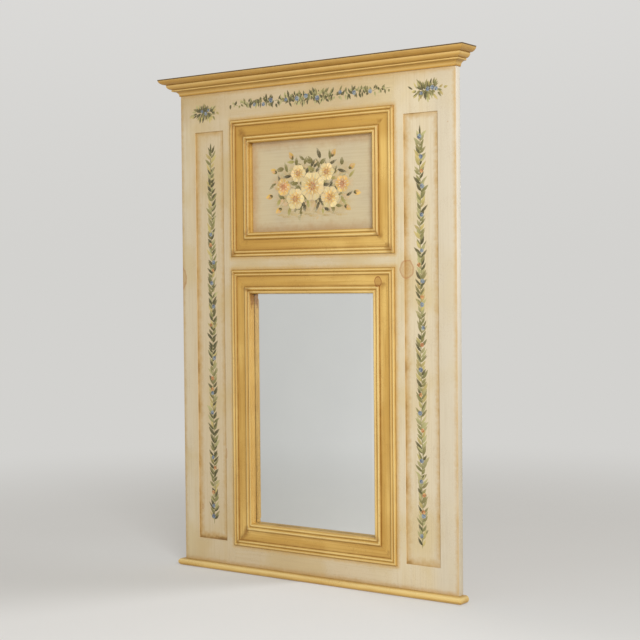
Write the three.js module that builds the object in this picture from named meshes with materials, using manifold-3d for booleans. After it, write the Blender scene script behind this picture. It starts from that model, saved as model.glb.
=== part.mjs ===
// Trumeau mirror: a painted pine face frame that holds a small picture panel above a bevelled mirror,
// each in its own mitred moulding, with a cornice on top, a nosed sill below and two hangers behind.
// Millimetres, +Z up, +X to the right, and the front looks along -Y. The origin is where the wall meets
// the middle of the hanging batten's back.
import * as THREE from 'three';
import { mergeVertices } from 'three/addons/utils/BufferGeometryUtils.js';
import Module from 'manifold-3d';

const wasm = await Module();
wasm.setup();

// ---- Driving dimensions ----

const fit = 0.2;                 // glue line between two fixed pieces
const mitreGap = 0.15;           // taken off each side of a mitre

// Face frame
const bodyWidth = 851;
const boardThickness = 21;
const bottomRailHeight = 52;
const middleRailHeight = 34;
const friezeHeight = 77;         // what shows of the frieze rail below the cornice

// Sunk field down each pilaster
const fieldSideMargin = 50;
const fieldWidth = 95;
const fieldBottomMargin = 61;
const fieldTopMargin = 101;
const fieldDepth = 4;

// The two moulded frames, one above the other
const frameOuterWidth = 508;
const mirrorFrameHeight = 724;
const pictureFrameHeight = 356;

// Section of the moulding, across from its outer edge, and its heights over the boards' face
const memberWidth = 62;
const outerBeadWidth = 8.4;
const outerBeadRise = 3.2;
const grooveRise = 2;
const secondBeadWidth = 8.2;
const secondBeadRise = 2.2;
const bandWidth = 27.2;
const bandRise = 0.8;
const innerBeadWidth = 9.8;
const innerBeadRise = 3.4;
const innerGrooveRise = 2.8;
const lipRise = 2.8;
const rebateWidth = 8;

// What the moulded frames hold
const paneThickness = 4;
const backingThickness = 3.5;
const paneOverlap = 7;           // pane edge behind the moulding's lip
const glassBevelWidth = 25;
const glassBevelDrop = 1.6;

// Cornice, from its foot up: fillet, cove, bead, ovolo and top roll
const corniceHeight = 44;
const corniceProjection = 44;
const corniceFilletWidth = 2.5;
const corniceFilletHeight = 1.5;
const coveRadius = 11;
const corniceStep = 1.2;
const corniceBeadHeight = 5;
const corniceBeadBulge = 3;
const ovoloProjection = 12;
const ovoloHeight = 11.5;
const quirkDepth = 1.2;
const quirkHeight = 1.2;

// Sill
const sillThickness = 18;
const sillProjection = 15;

// Battens behind the face frame
const battenLength = 680;
const battenHeight = 56;
const battenThickness = 18;
const hangingBattenTopMargin = 14;   // below the cornice's foot
const lowerBattenBottomMargin = 0;

// Dowels across the rail joints
const dowelRadius = 4;
const dowelLength = 50;
const dowelEndRoom = 1;
const friezeDowelMargin = 28;
const bottomRailDowelMargin = 14;

// Screws
const woodScrewRadius = 2;
const woodScrewHeadRadius = 4;
const woodScrewHeadHeight = 3;
const battenScrewLength = 34;
const corniceScrewLength = 38;
const sillScrewLength = 45;
const smallScrewRadius = 1.6;
const smallScrewHeadRadius = 3.2;
const smallScrewHeadHeight = 1.8;
const smallScrewLength = 14;
const screwPointLength = 6;
const battenScrewInset = 22;
const corniceScrewHeight = 30;

// Retaining clips over the backing boards
const clipLength = 38;
const clipWidth = 14;
const clipThickness = 1.2;
const clipReach = 15;            // over the backing board
const pictureClipPlaces = [0.5];             // shares of the frame's height
const mirrorClipPlaces = [0.25, 0.75];

// Ring hangers
const hangerSpacing = 680;
const hangerDrop = 60;           // ring pivot below the hanging batten
const strapWidth = 14;
const strapNeckWidth = 10;
const strapLength = 20;
const strapThickness = 1.2;
const strapScrewDrop = 11;
const ringWireRadius = 1.5;
const ringPlay = 0.3;
const ringHalfWidth = 14.5;
const ringArmLength = 15;
const ringCornerRadius = 4;

// How finely curves are made
const arcSteps = 6;
const noseSteps = 10;
const turnedSides = 12;
const screwHeadSteps = 3;
const dowelSides = 10;
const strapEndSteps = 8;
const knuckleSteps = 16;
const bowSteps = 12;
const ringSteps = 40;
const wireSides = 8;

const cutterRoom = 1;            // how far a cutter stands out of the face that it cuts

// ---- Places that follow from the dimensions ----

const halfBody = bodyWidth / 2;
const halfFrame = frameOuterWidth / 2;
const mirrorBottom = bottomRailHeight;
const mirrorTop = mirrorBottom + mirrorFrameHeight;
const pictureBottom = mirrorTop + middleRailHeight;
const pictureTop = pictureBottom + pictureFrameHeight;
const bodyHeight = pictureTop + friezeHeight;         // what shows between the sill and the cornice
const boardTop = bodyHeight + corniceHeight;
const rebateDepth = paneThickness + backingThickness + 2 * fit;
const seatDepth = boardThickness - rebateDepth;       // the lip's back, behind the boards' face
const hangingBattenTop = bodyHeight - hangingBattenTopMargin;
const hangHeight = hangingBattenTop - battenHeight / 2;
const backFace = boardThickness + fit;                // what is fixed behind the boards starts here

// ---- Materials ----

function finish(color, roughness, metalness = 0) {
  return new THREE.MeshStandardMaterial({ color, roughness, metalness });
}

const creamPaint = finish(0xdacba8, 0.6);
const ochrePaint = finish(0xcda550, 0.5);
const barePine = finish(0xc9a877, 0.7);
const panelPaint = finish(0xd2c3a2, 0.6);
const silvering = finish(0xc8ccce, 0.05, 1);
const hardboard = finish(0x8a6a48, 0.8);
const steel = finish(0xb4b3ae, 0.35, 1);
const brass = finish(0xc2a15a, 0.35, 1);

// ---- Solids ----

// Welds a geometry's shared corners and drops the triangles that closed up.
function weld(geometry) {
  const bare = geometry.clone();
  bare.deleteAttribute('normal');
  bare.deleteAttribute('uv');
  const merged = mergeVertices(bare, 1e-4);
  const corners = merged.index.array;
  const kept = [];
  for (let i = 0; i < corners.length; i += 3) {
    const [a, b, c] = [corners[i], corners[i + 1], corners[i + 2]];
    if (a !== b && b !== c && c !== a) kept.push(a, b, c);
  }
  merged.setIndex(kept);
  return merged;
}

function toSolid(geometry) {
  const welded = weld(geometry);
  return new wasm.Manifold(new wasm.Mesh({
    numProp: 3,
    vertProperties: new Float32Array(welded.attributes.position.array),
    triVerts: new Uint32Array(welded.index.array),
  }));
}

function toGeometry(solid) {
  const mesh = solid.getMesh();
  const geometry = new THREE.BufferGeometry();
  geometry.setAttribute('position', new THREE.BufferAttribute(new Float32Array(mesh.vertProperties), 3));
  geometry.setIndex(new THREE.BufferAttribute(new Uint32Array(mesh.triVerts), 1));
  return geometry;
}

function cut(geometry, tools) {
  return toGeometry(tools.reduce((rest, tool) => rest.subtract(toSolid(tool)), toSolid(geometry)));
}

const join = (a, b) => toGeometry(toSolid(a).add(toSolid(b)));
const overlapOf = (a, b) => toGeometry(toSolid(a).intersect(toSolid(b)));

// A box between two corners.
function block(from, to) {
  const size = to.map((value, i) => value - from[i]);
  return new THREE.BoxGeometry(...size).translate(...from.map((value, i) => value + size[i] / 2));
}

// A straight length of moulding: place() says where a point of the section goes at either end.
function mouldingBar(section, place) {
  const bar = new THREE.ExtrudeGeometry(section, { depth: 1, steps: 1, bevelEnabled: false });
  const points = bar.attributes.position;
  for (let i = 0; i < points.count; i++) {
    points.setXYZ(i, ...place(points.getX(i), points.getY(i), points.getZ(i) > 0.5));
  }
  return bar;
}

// Points of a quarter or half ellipse, from one angle to another, in even steps.
function arc(centreX, centreY, radiusX, radiusY, from, to, steps = arcSteps) {
  return Array.from({ length: steps + 1 }, (_, i) => {
    const angle = THREE.MathUtils.degToRad(from + (to - from) * i / steps);
    return new THREE.Vector2(centreX + radiusX * Math.cos(angle), centreY + radiusY * Math.sin(angle));
  });
}

const bead = (start, width, foot, rise) => arc(start + width / 2, foot, width / 2, rise, 180, 0);
const point = (x, y) => new THREE.Vector2(x, y);

const turned = profile => new THREE.LatheGeometry(profile, turnedSides);

// A countersunk wood screw along Y with its head at y = 0 and its point towards -Y; with some room it
// is the hole that the screw sits in.
function countersunkScrew(length, room = 0) {
  const shank = woodScrewRadius + room;
  const head = woodScrewHeadRadius + room;
  const profile = [
    point(0, -length - room),
    point(shank, screwPointLength - length),
    point(shank, -woodScrewHeadHeight),
    point(head, 0),
  ];
  if (room > 0) profile.push(point(head, cutterRoom));
  profile.push(point(0, room > 0 ? cutterRoom : 0));
  return turned(profile);
}

// A round-headed screw along Y whose head bears on y = 0 and whose point is towards -Y.
function roundHeadScrew(length) {
  return turned([
    point(0, -length),
    point(smallScrewRadius, screwPointLength - length),
    point(smallScrewRadius, 0),
    ...arc(0, 0, smallScrewHeadRadius, smallScrewHeadHeight, 0, 90, screwHeadSteps),
  ]);
}

function roundHeadHole(length) {
  const radius = smallScrewRadius + fit;
  return turned([
    point(0, -length - fit),
    point(radius, screwPointLength - length),
    point(radius, cutterRoom),
    point(0, cutterRoom),
  ]);
}

const assembly = new THREE.Group();

function add(name, geometry, material, at = [0, 0, 0]) {
  const mesh = new THREE.Mesh(geometry, material);
  mesh.name = name;
  mesh.position.set(...at);
  assembly.add(mesh);
  return mesh;
}

// ---- Dowels and the holes for them ----

const dowelRows = [
  ['frieze_upper', boardTop - friezeDowelMargin],
  ['frieze_lower', pictureTop + friezeDowelMargin],
  ['middle', (mirrorTop + pictureBottom) / 2],
  ['bottom_upper', bottomRailHeight - bottomRailDowelMargin],
  ['bottom_lower', bottomRailDowelMargin],
];

function dowel(side, height, room = 0) {
  const length = dowelLength + (room > 0 ? 2 * dowelEndRoom : 0);
  return new THREE.CylinderGeometry(dowelRadius + room, dowelRadius + room, length, dowelSides)
    .rotateZ(Math.PI / 2)
    .translate(side * halfFrame, boardThickness / 2, height);
}

const sides = [['left', -1], ['right', 1]];
const dowelHoles = side => dowelRows.map(([, height]) => dowel(side, height, fit));

for (const [sideName, side] of sides) {
  for (const [rowName, height] of dowelRows) {
    add(`dowel_${rowName}_${sideName}`, dowel(side, height), barePine);
  }
}

// ---- Where the screws go ----

const battenScrewX = battenLength / 2 - battenScrewInset;
const lowerBattenTop = lowerBattenBottomMargin + battenHeight;
const battenRows = [
  ['hanging', hangHeight],
  ['lower', lowerBattenTop - battenHeight / 2],
];
const battenBack = backFace + battenThickness;
const hangerX = hangerSpacing / 2;
const pivotHeight = hangingBattenTop - battenHeight - hangerDrop;
const corniceScrewX = halfFrame / 2;
const sillScrewX = (halfFrame + halfBody) / 2;

function battenHole(side, height) {
  return countersunkScrew(battenScrewLength, fit).translate(side * battenScrewX, battenBack, height);
}

// A screw driven up through the sill into a pilaster's end, or the hole for it.
function sillScrew(side, room = 0) {
  return countersunkScrew(sillScrewLength, room)
    .rotateX(-Math.PI / 2)
    .translate(side * sillScrewX, boardThickness / 2, -fit - sillThickness);
}

// ---- Face frame ----

function pilaster(side) {
  const inner = halfFrame + fit / 2;
  const xs = [side * inner, side * halfBody].sort((a, b) => a - b);
  const fieldXs = [halfBody - fieldSideMargin - fieldWidth, halfBody - fieldSideMargin]
    .map(x => side * x).sort((a, b) => a - b);
  const field = block(
    [fieldXs[0], -cutterRoom, fieldBottomMargin],
    [fieldXs[1], fieldDepth, bodyHeight - fieldTopMargin],
  );
  const screwHoles = [sillScrew(side, fit), ...battenRows.map(([, height]) => battenHole(side, height))];
  const hangerHole = roundHeadHole(smallScrewLength)
    .translate(side * hangerX, backFace + strapThickness + fit, pivotHeight - strapScrewDrop);
  const board = block([xs[0], 0, 0], [xs[1], boardThickness, boardTop]);
  return cut(board, [field, hangerHole, ...dowelHoles(side), ...screwHoles]);
}

function rail(bottom, top, holes = []) {
  const board = block([-halfFrame + fit / 2, 0, bottom], [halfFrame - fit / 2, boardThickness, top]);
  return cut(board, [...dowelHoles(-1), ...dowelHoles(1), ...holes]);
}

const corniceScrewAt = side => [side * corniceScrewX, boardThickness, bodyHeight + corniceScrewHeight];
const corniceHoles = [-1, 1].map(side => (
  countersunkScrew(corniceScrewLength, fit).translate(...corniceScrewAt(side))));

for (const [sideName, side] of sides) add(`pilaster_${sideName}`, pilaster(side), creamPaint);
add('frieze_rail', rail(pictureTop + fit, boardTop, corniceHoles), creamPaint);
add('middle_rail', rail(mirrorTop + fit, pictureBottom - fit), creamPaint);
add('bottom_rail', rail(0, mirrorBottom - fit), creamPaint);

// ---- Moulded frames ----

// Across from the outer edge: two beads, a flat band, the inner bead and the lip over the rebate.
function frameSection() {
  const bandStart = outerBeadWidth + secondBeadWidth;
  const bandEnd = bandStart + bandWidth;
  const lipStart = bandEnd + innerBeadWidth;
  const lipWidth = memberWidth - lipStart;
  return new THREE.Shape([
    point(0, -boardThickness),
    ...bead(0, outerBeadWidth, grooveRise, outerBeadRise),
    ...bead(outerBeadWidth, secondBeadWidth, grooveRise, secondBeadRise),
    point(bandStart, bandRise),
    point(bandEnd, bandRise),
    ...bead(bandEnd, innerBeadWidth, innerGrooveRise, innerBeadRise),
    ...bead(lipStart, lipWidth, innerGrooveRise, lipRise),
    point(memberWidth, -seatDepth),
    point(memberWidth - rebateWidth, -seatDepth),
    point(memberWidth - rebateWidth, -boardThickness),
  ]);
}

// One side of a frame, its outer edge at the bottom, mitred to the sides that it meets.
function frameMember(length, reach) {
  return mouldingBar(frameSection(), (across, rise, isEnd) => {
    const halfLength = length / 2 - across - mitreGap;
    return [isEnd ? halfLength : -halfLength, -rise, across - reach / 2];
  });
}

// The clips lie over the frames' upright sides from the rebate outwards.
const rebateX = halfFrame - memberWidth + rebateWidth;
const clipOuterX = rebateX + clipLength - clipReach;
const clipScrewX = (rebateX + clipOuterX) / 2;

const frameOf = (name, bottom, height, clipPlaces) => (
  { name, bottom, height, clips: clipPlaces.map(share => bottom + height * share) });
const pictureFrame = frameOf('picture', pictureBottom, pictureFrameHeight, pictureClipPlaces);
const mirrorFrame = frameOf('mirror', mirrorBottom, mirrorFrameHeight, mirrorClipPlaces);
const frames = [pictureFrame, mirrorFrame];

for (const { name, bottom, height, clips } of frames) {
  const centre = [0, 0, bottom + height / 2];
  const turns = [['bottom', 0], ['left', 90], ['top', 180], ['right', -90]];
  for (const [sideName, turn] of turns) {
    const upright = turn === 90 || turn === -90;
    const width = frameOuterWidth - fit;
    let member = frameMember(upright ? height : width, upright ? width : height)
      .rotateY(THREE.MathUtils.degToRad(turn));
    if (upright) {
      const side = turn === -90 ? 1 : -1;
      const holes = clips.map(z => roundHeadHole(smallScrewLength)
        .translate(side * clipScrewX, backFace + clipThickness + fit, z - centre[2]));
      member = cut(member, holes);
    }
    add(`${name}_frame_${sideName}`, member, ochrePaint, centre);
  }
}

// ---- Pane, picture panel and backing boards ----

// A plate whose front edges slope back, centred on x and z, with its back at y = 0.
function bevelledPlate(width, height, thickness, slope, drop) {
  const ring = (inset, y) => [[-1, -1], [1, -1], [1, 1], [-1, 1]]
    .map(([x, z]) => [x * (width / 2 - inset), y, z * (height / 2 - inset)]);
  const corners = [...ring(0, 0), ...ring(0, drop - thickness), ...ring(slope, -thickness)];
  const triangles = [0, 2, 1, 0, 3, 2, 8, 9, 10, 8, 10, 11];
  for (const level of [0, 4]) {
    for (let i = 0; i < 4; i++) {
      const next = (i + 1) % 4;
      triangles.push(level + i, level + next, level + 4 + next, level + i, level + 4 + next, level + 4 + i);
    }
  }
  const plate = new THREE.BufferGeometry();
  plate.setAttribute('position', new THREE.Float32BufferAttribute(corners.flat(), 3));
  plate.setIndex(triangles);
  return plate;
}

const sightWidth = frameOuterWidth - fit - 2 * memberWidth;
const paneWidth = sightWidth + 2 * paneOverlap;
const paneHeight = frame => frame.height - 2 * memberWidth + 2 * paneOverlap;
const centreOf = frame => frame.bottom + frame.height / 2;
const paneBack = seatDepth + fit + paneThickness;

const plainPlate = (frame, thickness) => new THREE.BoxGeometry(paneWidth, thickness, paneHeight(frame));

add('picture_panel', plainPlate(pictureFrame, paneThickness), panelPaint,
  [0, paneBack - paneThickness / 2, centreOf(pictureFrame)]);
add('mirror_glass',
  bevelledPlate(paneWidth, paneHeight(mirrorFrame), paneThickness, glassBevelWidth, glassBevelDrop),
  silvering, [0, paneBack, centreOf(mirrorFrame)]);
for (const frame of frames) {
  add(`${frame.name}_backing_board`, plainPlate(frame, backingThickness), hardboard,
    [0, boardThickness - backingThickness / 2, centreOf(frame)]);
}

// ---- Clips over the backing boards ----

for (const frame of frames) {
  for (const [sideName, side] of sides) {
    frame.clips.forEach((z, i) => {
      const row = frame.clips.length > 1 ? `_${['lower', 'upper'][i]}` : '';
      const plate = new THREE.BoxGeometry(clipLength, clipThickness, clipWidth)
        .translate(side * (clipOuterX - clipLength / 2), backFace + clipThickness / 2, z);
      const screwAt = [side * clipScrewX, backFace + clipThickness + fit, z];
      const hole = roundHeadHole(smallScrewLength).translate(...screwAt);
      add(`${frame.name}_clip_${sideName}${row}`, cut(plate, [hole]), steel);
      add(`${frame.name}_clip_screw_${sideName}${row}`, roundHeadScrew(smallScrewLength), steel, screwAt);
    });
  }
}

// ---- Cornice ----

// Section with its foot at height 0, its back at 0 and its face to positive projection.
function corniceSection() {
  const coveTop = corniceFilletHeight + coveRadius;
  const coveOut = corniceFilletWidth + coveRadius;
  const beadFoot = coveOut + corniceStep;
  const beadTop = coveTop + corniceBeadHeight;
  const ovoloStart = beadFoot + corniceStep;
  const ovoloTop = beadTop + ovoloHeight;
  const ovoloOut = ovoloStart + ovoloProjection;
  const rollFoot = ovoloTop + quirkHeight;
  const rollStart = ovoloOut;
  return new THREE.Shape([
    point(0, 0),
    point(corniceFilletWidth, 0),
    ...arc(coveOut, corniceFilletHeight, coveRadius, coveRadius, 180, 90),
    point(beadFoot, coveTop),
    ...arc(beadFoot, (coveTop + beadTop) / 2, corniceBeadBulge, corniceBeadHeight / 2, -90, 90).slice(1),
    point(ovoloStart, beadTop),
    ...arc(ovoloStart, ovoloTop, ovoloProjection, ovoloHeight, -90, 0).slice(1),
    point(ovoloOut - quirkDepth, ovoloTop),
    point(ovoloOut - quirkDepth, rollFoot),
    point(rollStart, rollFoot),
    ...arc(rollStart, corniceHeight, corniceProjection - rollStart, corniceHeight - rollFoot, -90, 0).slice(1),
    point(0, corniceHeight),
  ]);
}

const corniceCorner = halfBody + fit;

function corniceFront() {
  const bar = mouldingBar(corniceSection(), (out, up, isEnd) => {
    const halfLength = corniceCorner + out - mitreGap;
    return [isEnd ? -halfLength : halfLength, -fit - out, bodyHeight + up];
  });
  return cut(bar, corniceHoles);
}

function corniceReturn(side) {
  return mouldingBar(corniceSection(), (out, up, isEnd) => {
    const atFront = isEnd === (side > 0);
    return [side * (corniceCorner + out), atFront ? mitreGap - fit - out : boardThickness, bodyHeight + up];
  });
}

add('cornice_front', corniceFront(), ochrePaint);
for (const [sideName, side] of sides) add(`cornice_return_${sideName}`, corniceReturn(side), ochrePaint);
for (const [sideName, side] of sides) {
  add(`cornice_screw_${sideName}`, countersunkScrew(corniceScrewLength), steel, corniceScrewAt(side));
}

// ---- Sill ----

// Its section across the depth and its section along the width, both with half-round noses, share the
// solid between them, so that the nose runs round the front and both ends.
function sill() {
  const nose = sillThickness / 2;
  const halfLength = halfBody + sillProjection;
  const across = new THREE.Shape([
    point(boardThickness, -nose),
    point(boardThickness, nose),
    ...arc(nose - sillProjection, 0, nose, nose, 90, 270, noseSteps),
  ].reverse());
  const along = new THREE.Shape([
    ...arc(halfLength - nose, 0, nose, nose, -90, 90, noseSteps),
    ...arc(nose - halfLength, 0, nose, nose, 90, 270, noseSteps),
  ]);
  const cutX = halfLength + cutterRoom;
  const cutY = -sillProjection - cutterRoom;
  const nosedFront = mouldingBar(across, (y, z, isEnd) => [isEnd ? cutX : -cutX, y, z]);
  const nosedEnds = mouldingBar(along, (x, z, isEnd) => [x, isEnd ? cutY : boardThickness, z]);
  const middle = -fit - nose;
  const strip = overlapOf(nosedFront, nosedEnds).translate(0, 0, middle);
  return cut(strip, [sillScrew(-1, fit), sillScrew(1, fit)]);
}

add('sill', sill(), ochrePaint);
for (const [sideName, side] of sides) {
  add(`sill_screw_${sideName}`, sillScrew(side), steel);
}

// ---- Battens ----

for (const [name, height] of battenRows) {
  const plank = new THREE.BoxGeometry(battenLength, battenThickness, battenHeight)
    .translate(0, backFace + battenThickness / 2, height);
  add(`${name}_batten`, cut(plank, [battenHole(-1, height), battenHole(1, height)]), barePine);
  for (const [sideName, side] of sides) {
    add(`${name}_batten_screw_${sideName}`, countersunkScrew(battenScrewLength), steel,
      [side * battenScrewX, battenBack, height]);
  }
}

// ---- Ring hangers ----

const knuckleBore = ringWireRadius + ringPlay;
const knuckleRadius = knuckleBore + strapThickness;
const pivotDepth = backFace + knuckleRadius;

// A strap with a curled knuckle at its top; the pivot is at the origin and the wood behind it.
function hangerStrap() {
  const halfStrap = strapWidth / 2;
  const halfNeck = strapNeckWidth / 2;
  const outline = new THREE.Shape([
    point(-halfNeck, 0),
    point(-halfStrap, -halfStrap),
    ...arc(0, halfStrap - strapLength, halfStrap, halfStrap, 180, 360, strapEndSteps),
    point(halfStrap, -halfStrap),
    point(halfNeck, 0),
  ]);
  const strap = new THREE.ExtrudeGeometry(outline, { depth: strapThickness, bevelEnabled: false })
    .rotateX(Math.PI / 2)
    .translate(0, strapThickness - knuckleRadius, 0);
  const curl = new THREE.Shape(arc(0, 0, knuckleRadius, knuckleRadius, 0, 360, knuckleSteps).slice(1));
  curl.holes.push(new THREE.Path(arc(0, 0, knuckleBore, knuckleBore, 360, 0, knuckleSteps).slice(1)));
  const knuckle = new THREE.ExtrudeGeometry(curl, { depth: strapNeckWidth, bevelEnabled: false })
    .translate(0, 0, -strapNeckWidth / 2)
    .rotateY(Math.PI / 2);
  const hole = roundHeadHole(smallScrewLength)
    .translate(0, strapThickness - knuckleRadius + fit, -strapScrewDrop);
  return cut(join(strap, knuckle), [hole]);
}

// The D-shaped ring, hanging down from its straight bar at the pivot.
function hangerRing() {
  const path = new THREE.CurvePath();
  const place = (x, z) => new THREE.Vector3(x, 0, z);
  const line = (from, to) => path.add(new THREE.LineCurve3(from, to));
  const bend = (from, corner, to) => path.add(new THREE.QuadraticBezierCurve3(from, corner, to));
  const ends = side => ({
    bar: place(side * (ringHalfWidth - ringCornerRadius), 0),
    corner: place(side * ringHalfWidth, 0),
    arm: place(side * ringHalfWidth, -ringCornerRadius),
  });
  const [left, right] = [ends(-1), ends(1)];
  const bow = arc(0, -ringArmLength, ringHalfWidth, ringHalfWidth, 0, -180, bowSteps)
    .map(({ x, y }) => place(x, y));
  line(left.bar, right.bar);
  bend(right.bar, right.corner, right.arm);
  [right.arm, ...bow].forEach((from, i) => line(from, [...bow, left.arm][i]));
  bend(left.arm, left.corner, left.bar);
  return new THREE.TubeGeometry(path, ringSteps, ringWireRadius, wireSides, true);
}

for (const [sideName, side] of sides) {
  const pivot = [side * hangerX, pivotDepth, pivotHeight];
  add(`hanger_strap_${sideName}`, hangerStrap(), brass, pivot);
  add(`hanger_ring_${sideName}`, weld(hangerRing()), brass, pivot);
  add(`hanger_screw_${sideName}`, roundHeadScrew(smallScrewLength), brass,
    [side * hangerX, backFace + strapThickness + fit, pivotHeight - strapScrewDrop]);
}

// ---- The whole ----

assembly.position.set(0, -battenBack, -hangHeight);
const trumeauMirror = new THREE.Group();
trumeauMirror.add(assembly);

export default trumeauMirror;
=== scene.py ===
# %% [markdown]
# # A painted trumeau mirror
# A trumeau mirror is a tall wall mirror with a painted panel above the glass. The joinery comes from a
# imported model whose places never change, so this lesson starts from it. Each board, moulding and pane is
# then modelled again with soft edges, and gets the worn cream and ochre paint that such mirrors carry.

# %% Load the joinery
import math
import random

import bmesh
import bpy
from mathutils import Matrix, Vector


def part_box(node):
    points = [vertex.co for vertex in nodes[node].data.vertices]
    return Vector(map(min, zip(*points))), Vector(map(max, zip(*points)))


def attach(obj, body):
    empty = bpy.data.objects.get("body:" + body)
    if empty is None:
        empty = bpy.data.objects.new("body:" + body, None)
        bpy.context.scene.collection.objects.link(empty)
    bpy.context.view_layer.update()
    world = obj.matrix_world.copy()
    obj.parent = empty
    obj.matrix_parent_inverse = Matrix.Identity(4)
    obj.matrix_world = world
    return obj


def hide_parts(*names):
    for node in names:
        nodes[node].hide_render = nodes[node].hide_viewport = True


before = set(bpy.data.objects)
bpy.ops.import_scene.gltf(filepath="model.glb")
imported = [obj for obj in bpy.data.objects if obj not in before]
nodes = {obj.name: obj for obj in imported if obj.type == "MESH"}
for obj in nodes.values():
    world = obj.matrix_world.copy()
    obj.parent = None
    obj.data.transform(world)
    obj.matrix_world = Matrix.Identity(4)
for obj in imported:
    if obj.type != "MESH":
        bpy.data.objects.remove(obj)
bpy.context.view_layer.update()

# %% [markdown]
# ## Measures
# Everything is in metres, with Z up, and the front looks along -Y. The boards' boxes give the face of the
# boards, the outline of the body and of the two frames. What the boxes can't tell, such as the width of a
# bead, is named here once.

# %% Measures
MM = 0.001
FIT = 0.2 * MM
MITRE_GAP = 0.15 * MM

low_left, high_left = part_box("pilaster_left")
low_right, high_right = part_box("pilaster_right")
FACE = low_left[1]
BOARD_BACK = high_left[1]
PANE_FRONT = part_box("mirror_glass")[0][1]
BODY_HALF_WIDTH = high_right[0]
BODY_FOOT = low_left[2]
BODY_TOP = high_left[2]

CORNICE_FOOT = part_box("cornice_front")[0][2]
MEMBER_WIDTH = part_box("mirror_frame_bottom")[1][2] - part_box("mirror_frame_bottom")[0][2]


# The outline of a moulded frame: its middle height, half width and half height.
def frame_outline(name):
    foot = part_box(name + "_frame_bottom")[0]
    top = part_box(name + "_frame_top")[1]
    return {"middle": (foot[2] + top[2]) / 2, "half_width": top[0], "half_height": (top[2] - foot[2]) / 2}


PICTURE = frame_outline("picture")
MIRROR = frame_outline("mirror")
BODY = {
    "middle": (BODY_FOOT + CORNICE_FOOT) / 2,
    "half_width": BODY_HALF_WIDTH,
    "half_height": (CORNICE_FOOT - BODY_FOOT) / 2,
}
print("face at", FACE, "mirror frame", MIRROR, "picture frame", PICTURE)

# %% [markdown]
# The sunk field runs down the middle of each pilaster. Its box lies inside the board's box, so its
# margins are repeated here.

# %% The sunk fields
FIELD_SIDE_MARGIN = 50 * MM
FIELD_WIDTH = 95 * MM
FIELD_DEPTH = 4 * MM
FIELD_FOOT = BODY_FOOT + 61 * MM
FIELD_TOP = CORNICE_FOOT - 101 * MM
FIELD_X = BODY_HALF_WIDTH - FIELD_SIDE_MARGIN - FIELD_WIDTH / 2
FIELD = {
    "middle": (FIELD_FOOT + FIELD_TOP) / 2,
    "half_width": FIELD_WIDTH / 2,
    "half_height": (FIELD_TOP - FIELD_FOOT) / 2,
}
FIELD_FLOOR = FACE + FIELD_DEPTH
print("fields at x =", FIELD_X, "from", FIELD_FOOT, "to", FIELD_TOP)

# %% [markdown]
# ## Camera
# The photograph was taken from the right, level with the upper part of the glass, with a long lens. The
# camera's place comes from the vanishing points of the rails and pilasters.

# %% Camera
PHOTO_SIZE = 640
FOCAL_PIXELS = 1403
SENSOR_WIDTH = 36.0

camera_data = bpy.data.cameras.new("photo_camera")
camera_data.sensor_width = SENSOR_WIDTH
camera_data.lens = FOCAL_PIXELS * SENSOR_WIDTH / PHOTO_SIZE
camera = bpy.data.objects.new("photo_camera", camera_data)
camera.location = (2.0914, -2.8851, -0.4631)
camera.rotation_euler = [math.radians(angle) for angle in (88.519, 0.525, 35.912)]
bpy.context.collection.objects.link(camera)
bpy.context.scene.camera = camera
bpy.context.scene.view_settings.view_transform = "Standard"
print("lens", round(camera_data.lens, 2), "mm")

# %% [markdown]
# ## Nodes in few words
# Painted finishes need many small nodes. These helpers place a node, feed its sockets with either a value
# or another socket, and give back what it puts out, so that a finish reads like a recipe.


# %% Node helpers
def feed(tree, socket, source):
    if isinstance(source, bpy.types.NodeSocket):
        tree.links.new(source, socket)
    else:
        socket.default_value = source


def calc(tree, operation, first, second=0.0):
    node = tree.nodes.new("ShaderNodeMath")
    node.operation = operation
    feed(tree, node.inputs[0], first)
    feed(tree, node.inputs[1], second)
    return node.outputs[0]


def fade(tree, value, start, end):
    """1 up to start, 0 from end on, and smooth between them."""
    node = tree.nodes.new("ShaderNodeMapRange")
    node.interpolation_type = "SMOOTHSTEP"
    for socket, source in zip(node.inputs, (value, start, end, 1.0, 0.0)):
        feed(tree, socket, source)
    return node.outputs[0]


def blend(tree, amount, first, second, way="MIX"):
    node = tree.nodes.new("ShaderNodeMix")
    node.data_type = "RGBA"
    node.blend_type = way
    feed(tree, node.inputs[0], amount)
    feed(tree, node.inputs[6], first)
    feed(tree, node.inputs[7], second)
    return node.outputs[2]


def scaled(tree, vector, scale):
    node = tree.nodes.new("ShaderNodeVectorMath")
    node.operation = "MULTIPLY"
    feed(tree, node.inputs[0], vector)
    feed(tree, node.inputs[1], scale)
    return node.outputs[0]


def noise(tree, vector, scale, detail=3.0):
    node = tree.nodes.new("ShaderNodeTexNoise")
    feed(tree, node.inputs["Vector"], vector)
    feed(tree, node.inputs["Scale"], scale)
    feed(tree, node.inputs["Detail"], detail)
    return node.outputs[0]


def ramp(tree, value, stops):
    """A black to white ramp through (place, lightness) stops."""
    node = tree.nodes.new("ShaderNodeValToRGB")
    elements = node.color_ramp.elements
    for element, (place, level) in zip(elements, (stops[0], stops[-1])):
        element.position = place
        element.color = (level, level, level, 1)
    for place, level in stops[1:-1]:
        elements.new(place).color = (level, level, level, 1)
    feed(tree, node.inputs[0], value)
    return node.outputs[0]


def colour(hex_code):
    """A display colour such as "dac9a3" as a shader colour."""
    parts = [int(hex_code[i:i + 2], 16) / 255 for i in (0, 2, 4)]
    return tuple(p / 12.92 if p <= 0.04045 else ((p + 0.055) / 1.055) ** 2.4 for p in parts) + (1.0,)


# %% [markdown]
# A shader node group is a small machine that several materials can share. Each one here gets named inputs
# and outputs, and puts out only masks, values or colours.


# %% Group helpers
KINDS = {"vector": "NodeSocketVector", "value": "NodeSocketFloat", "colour": "NodeSocketColor"}


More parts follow.
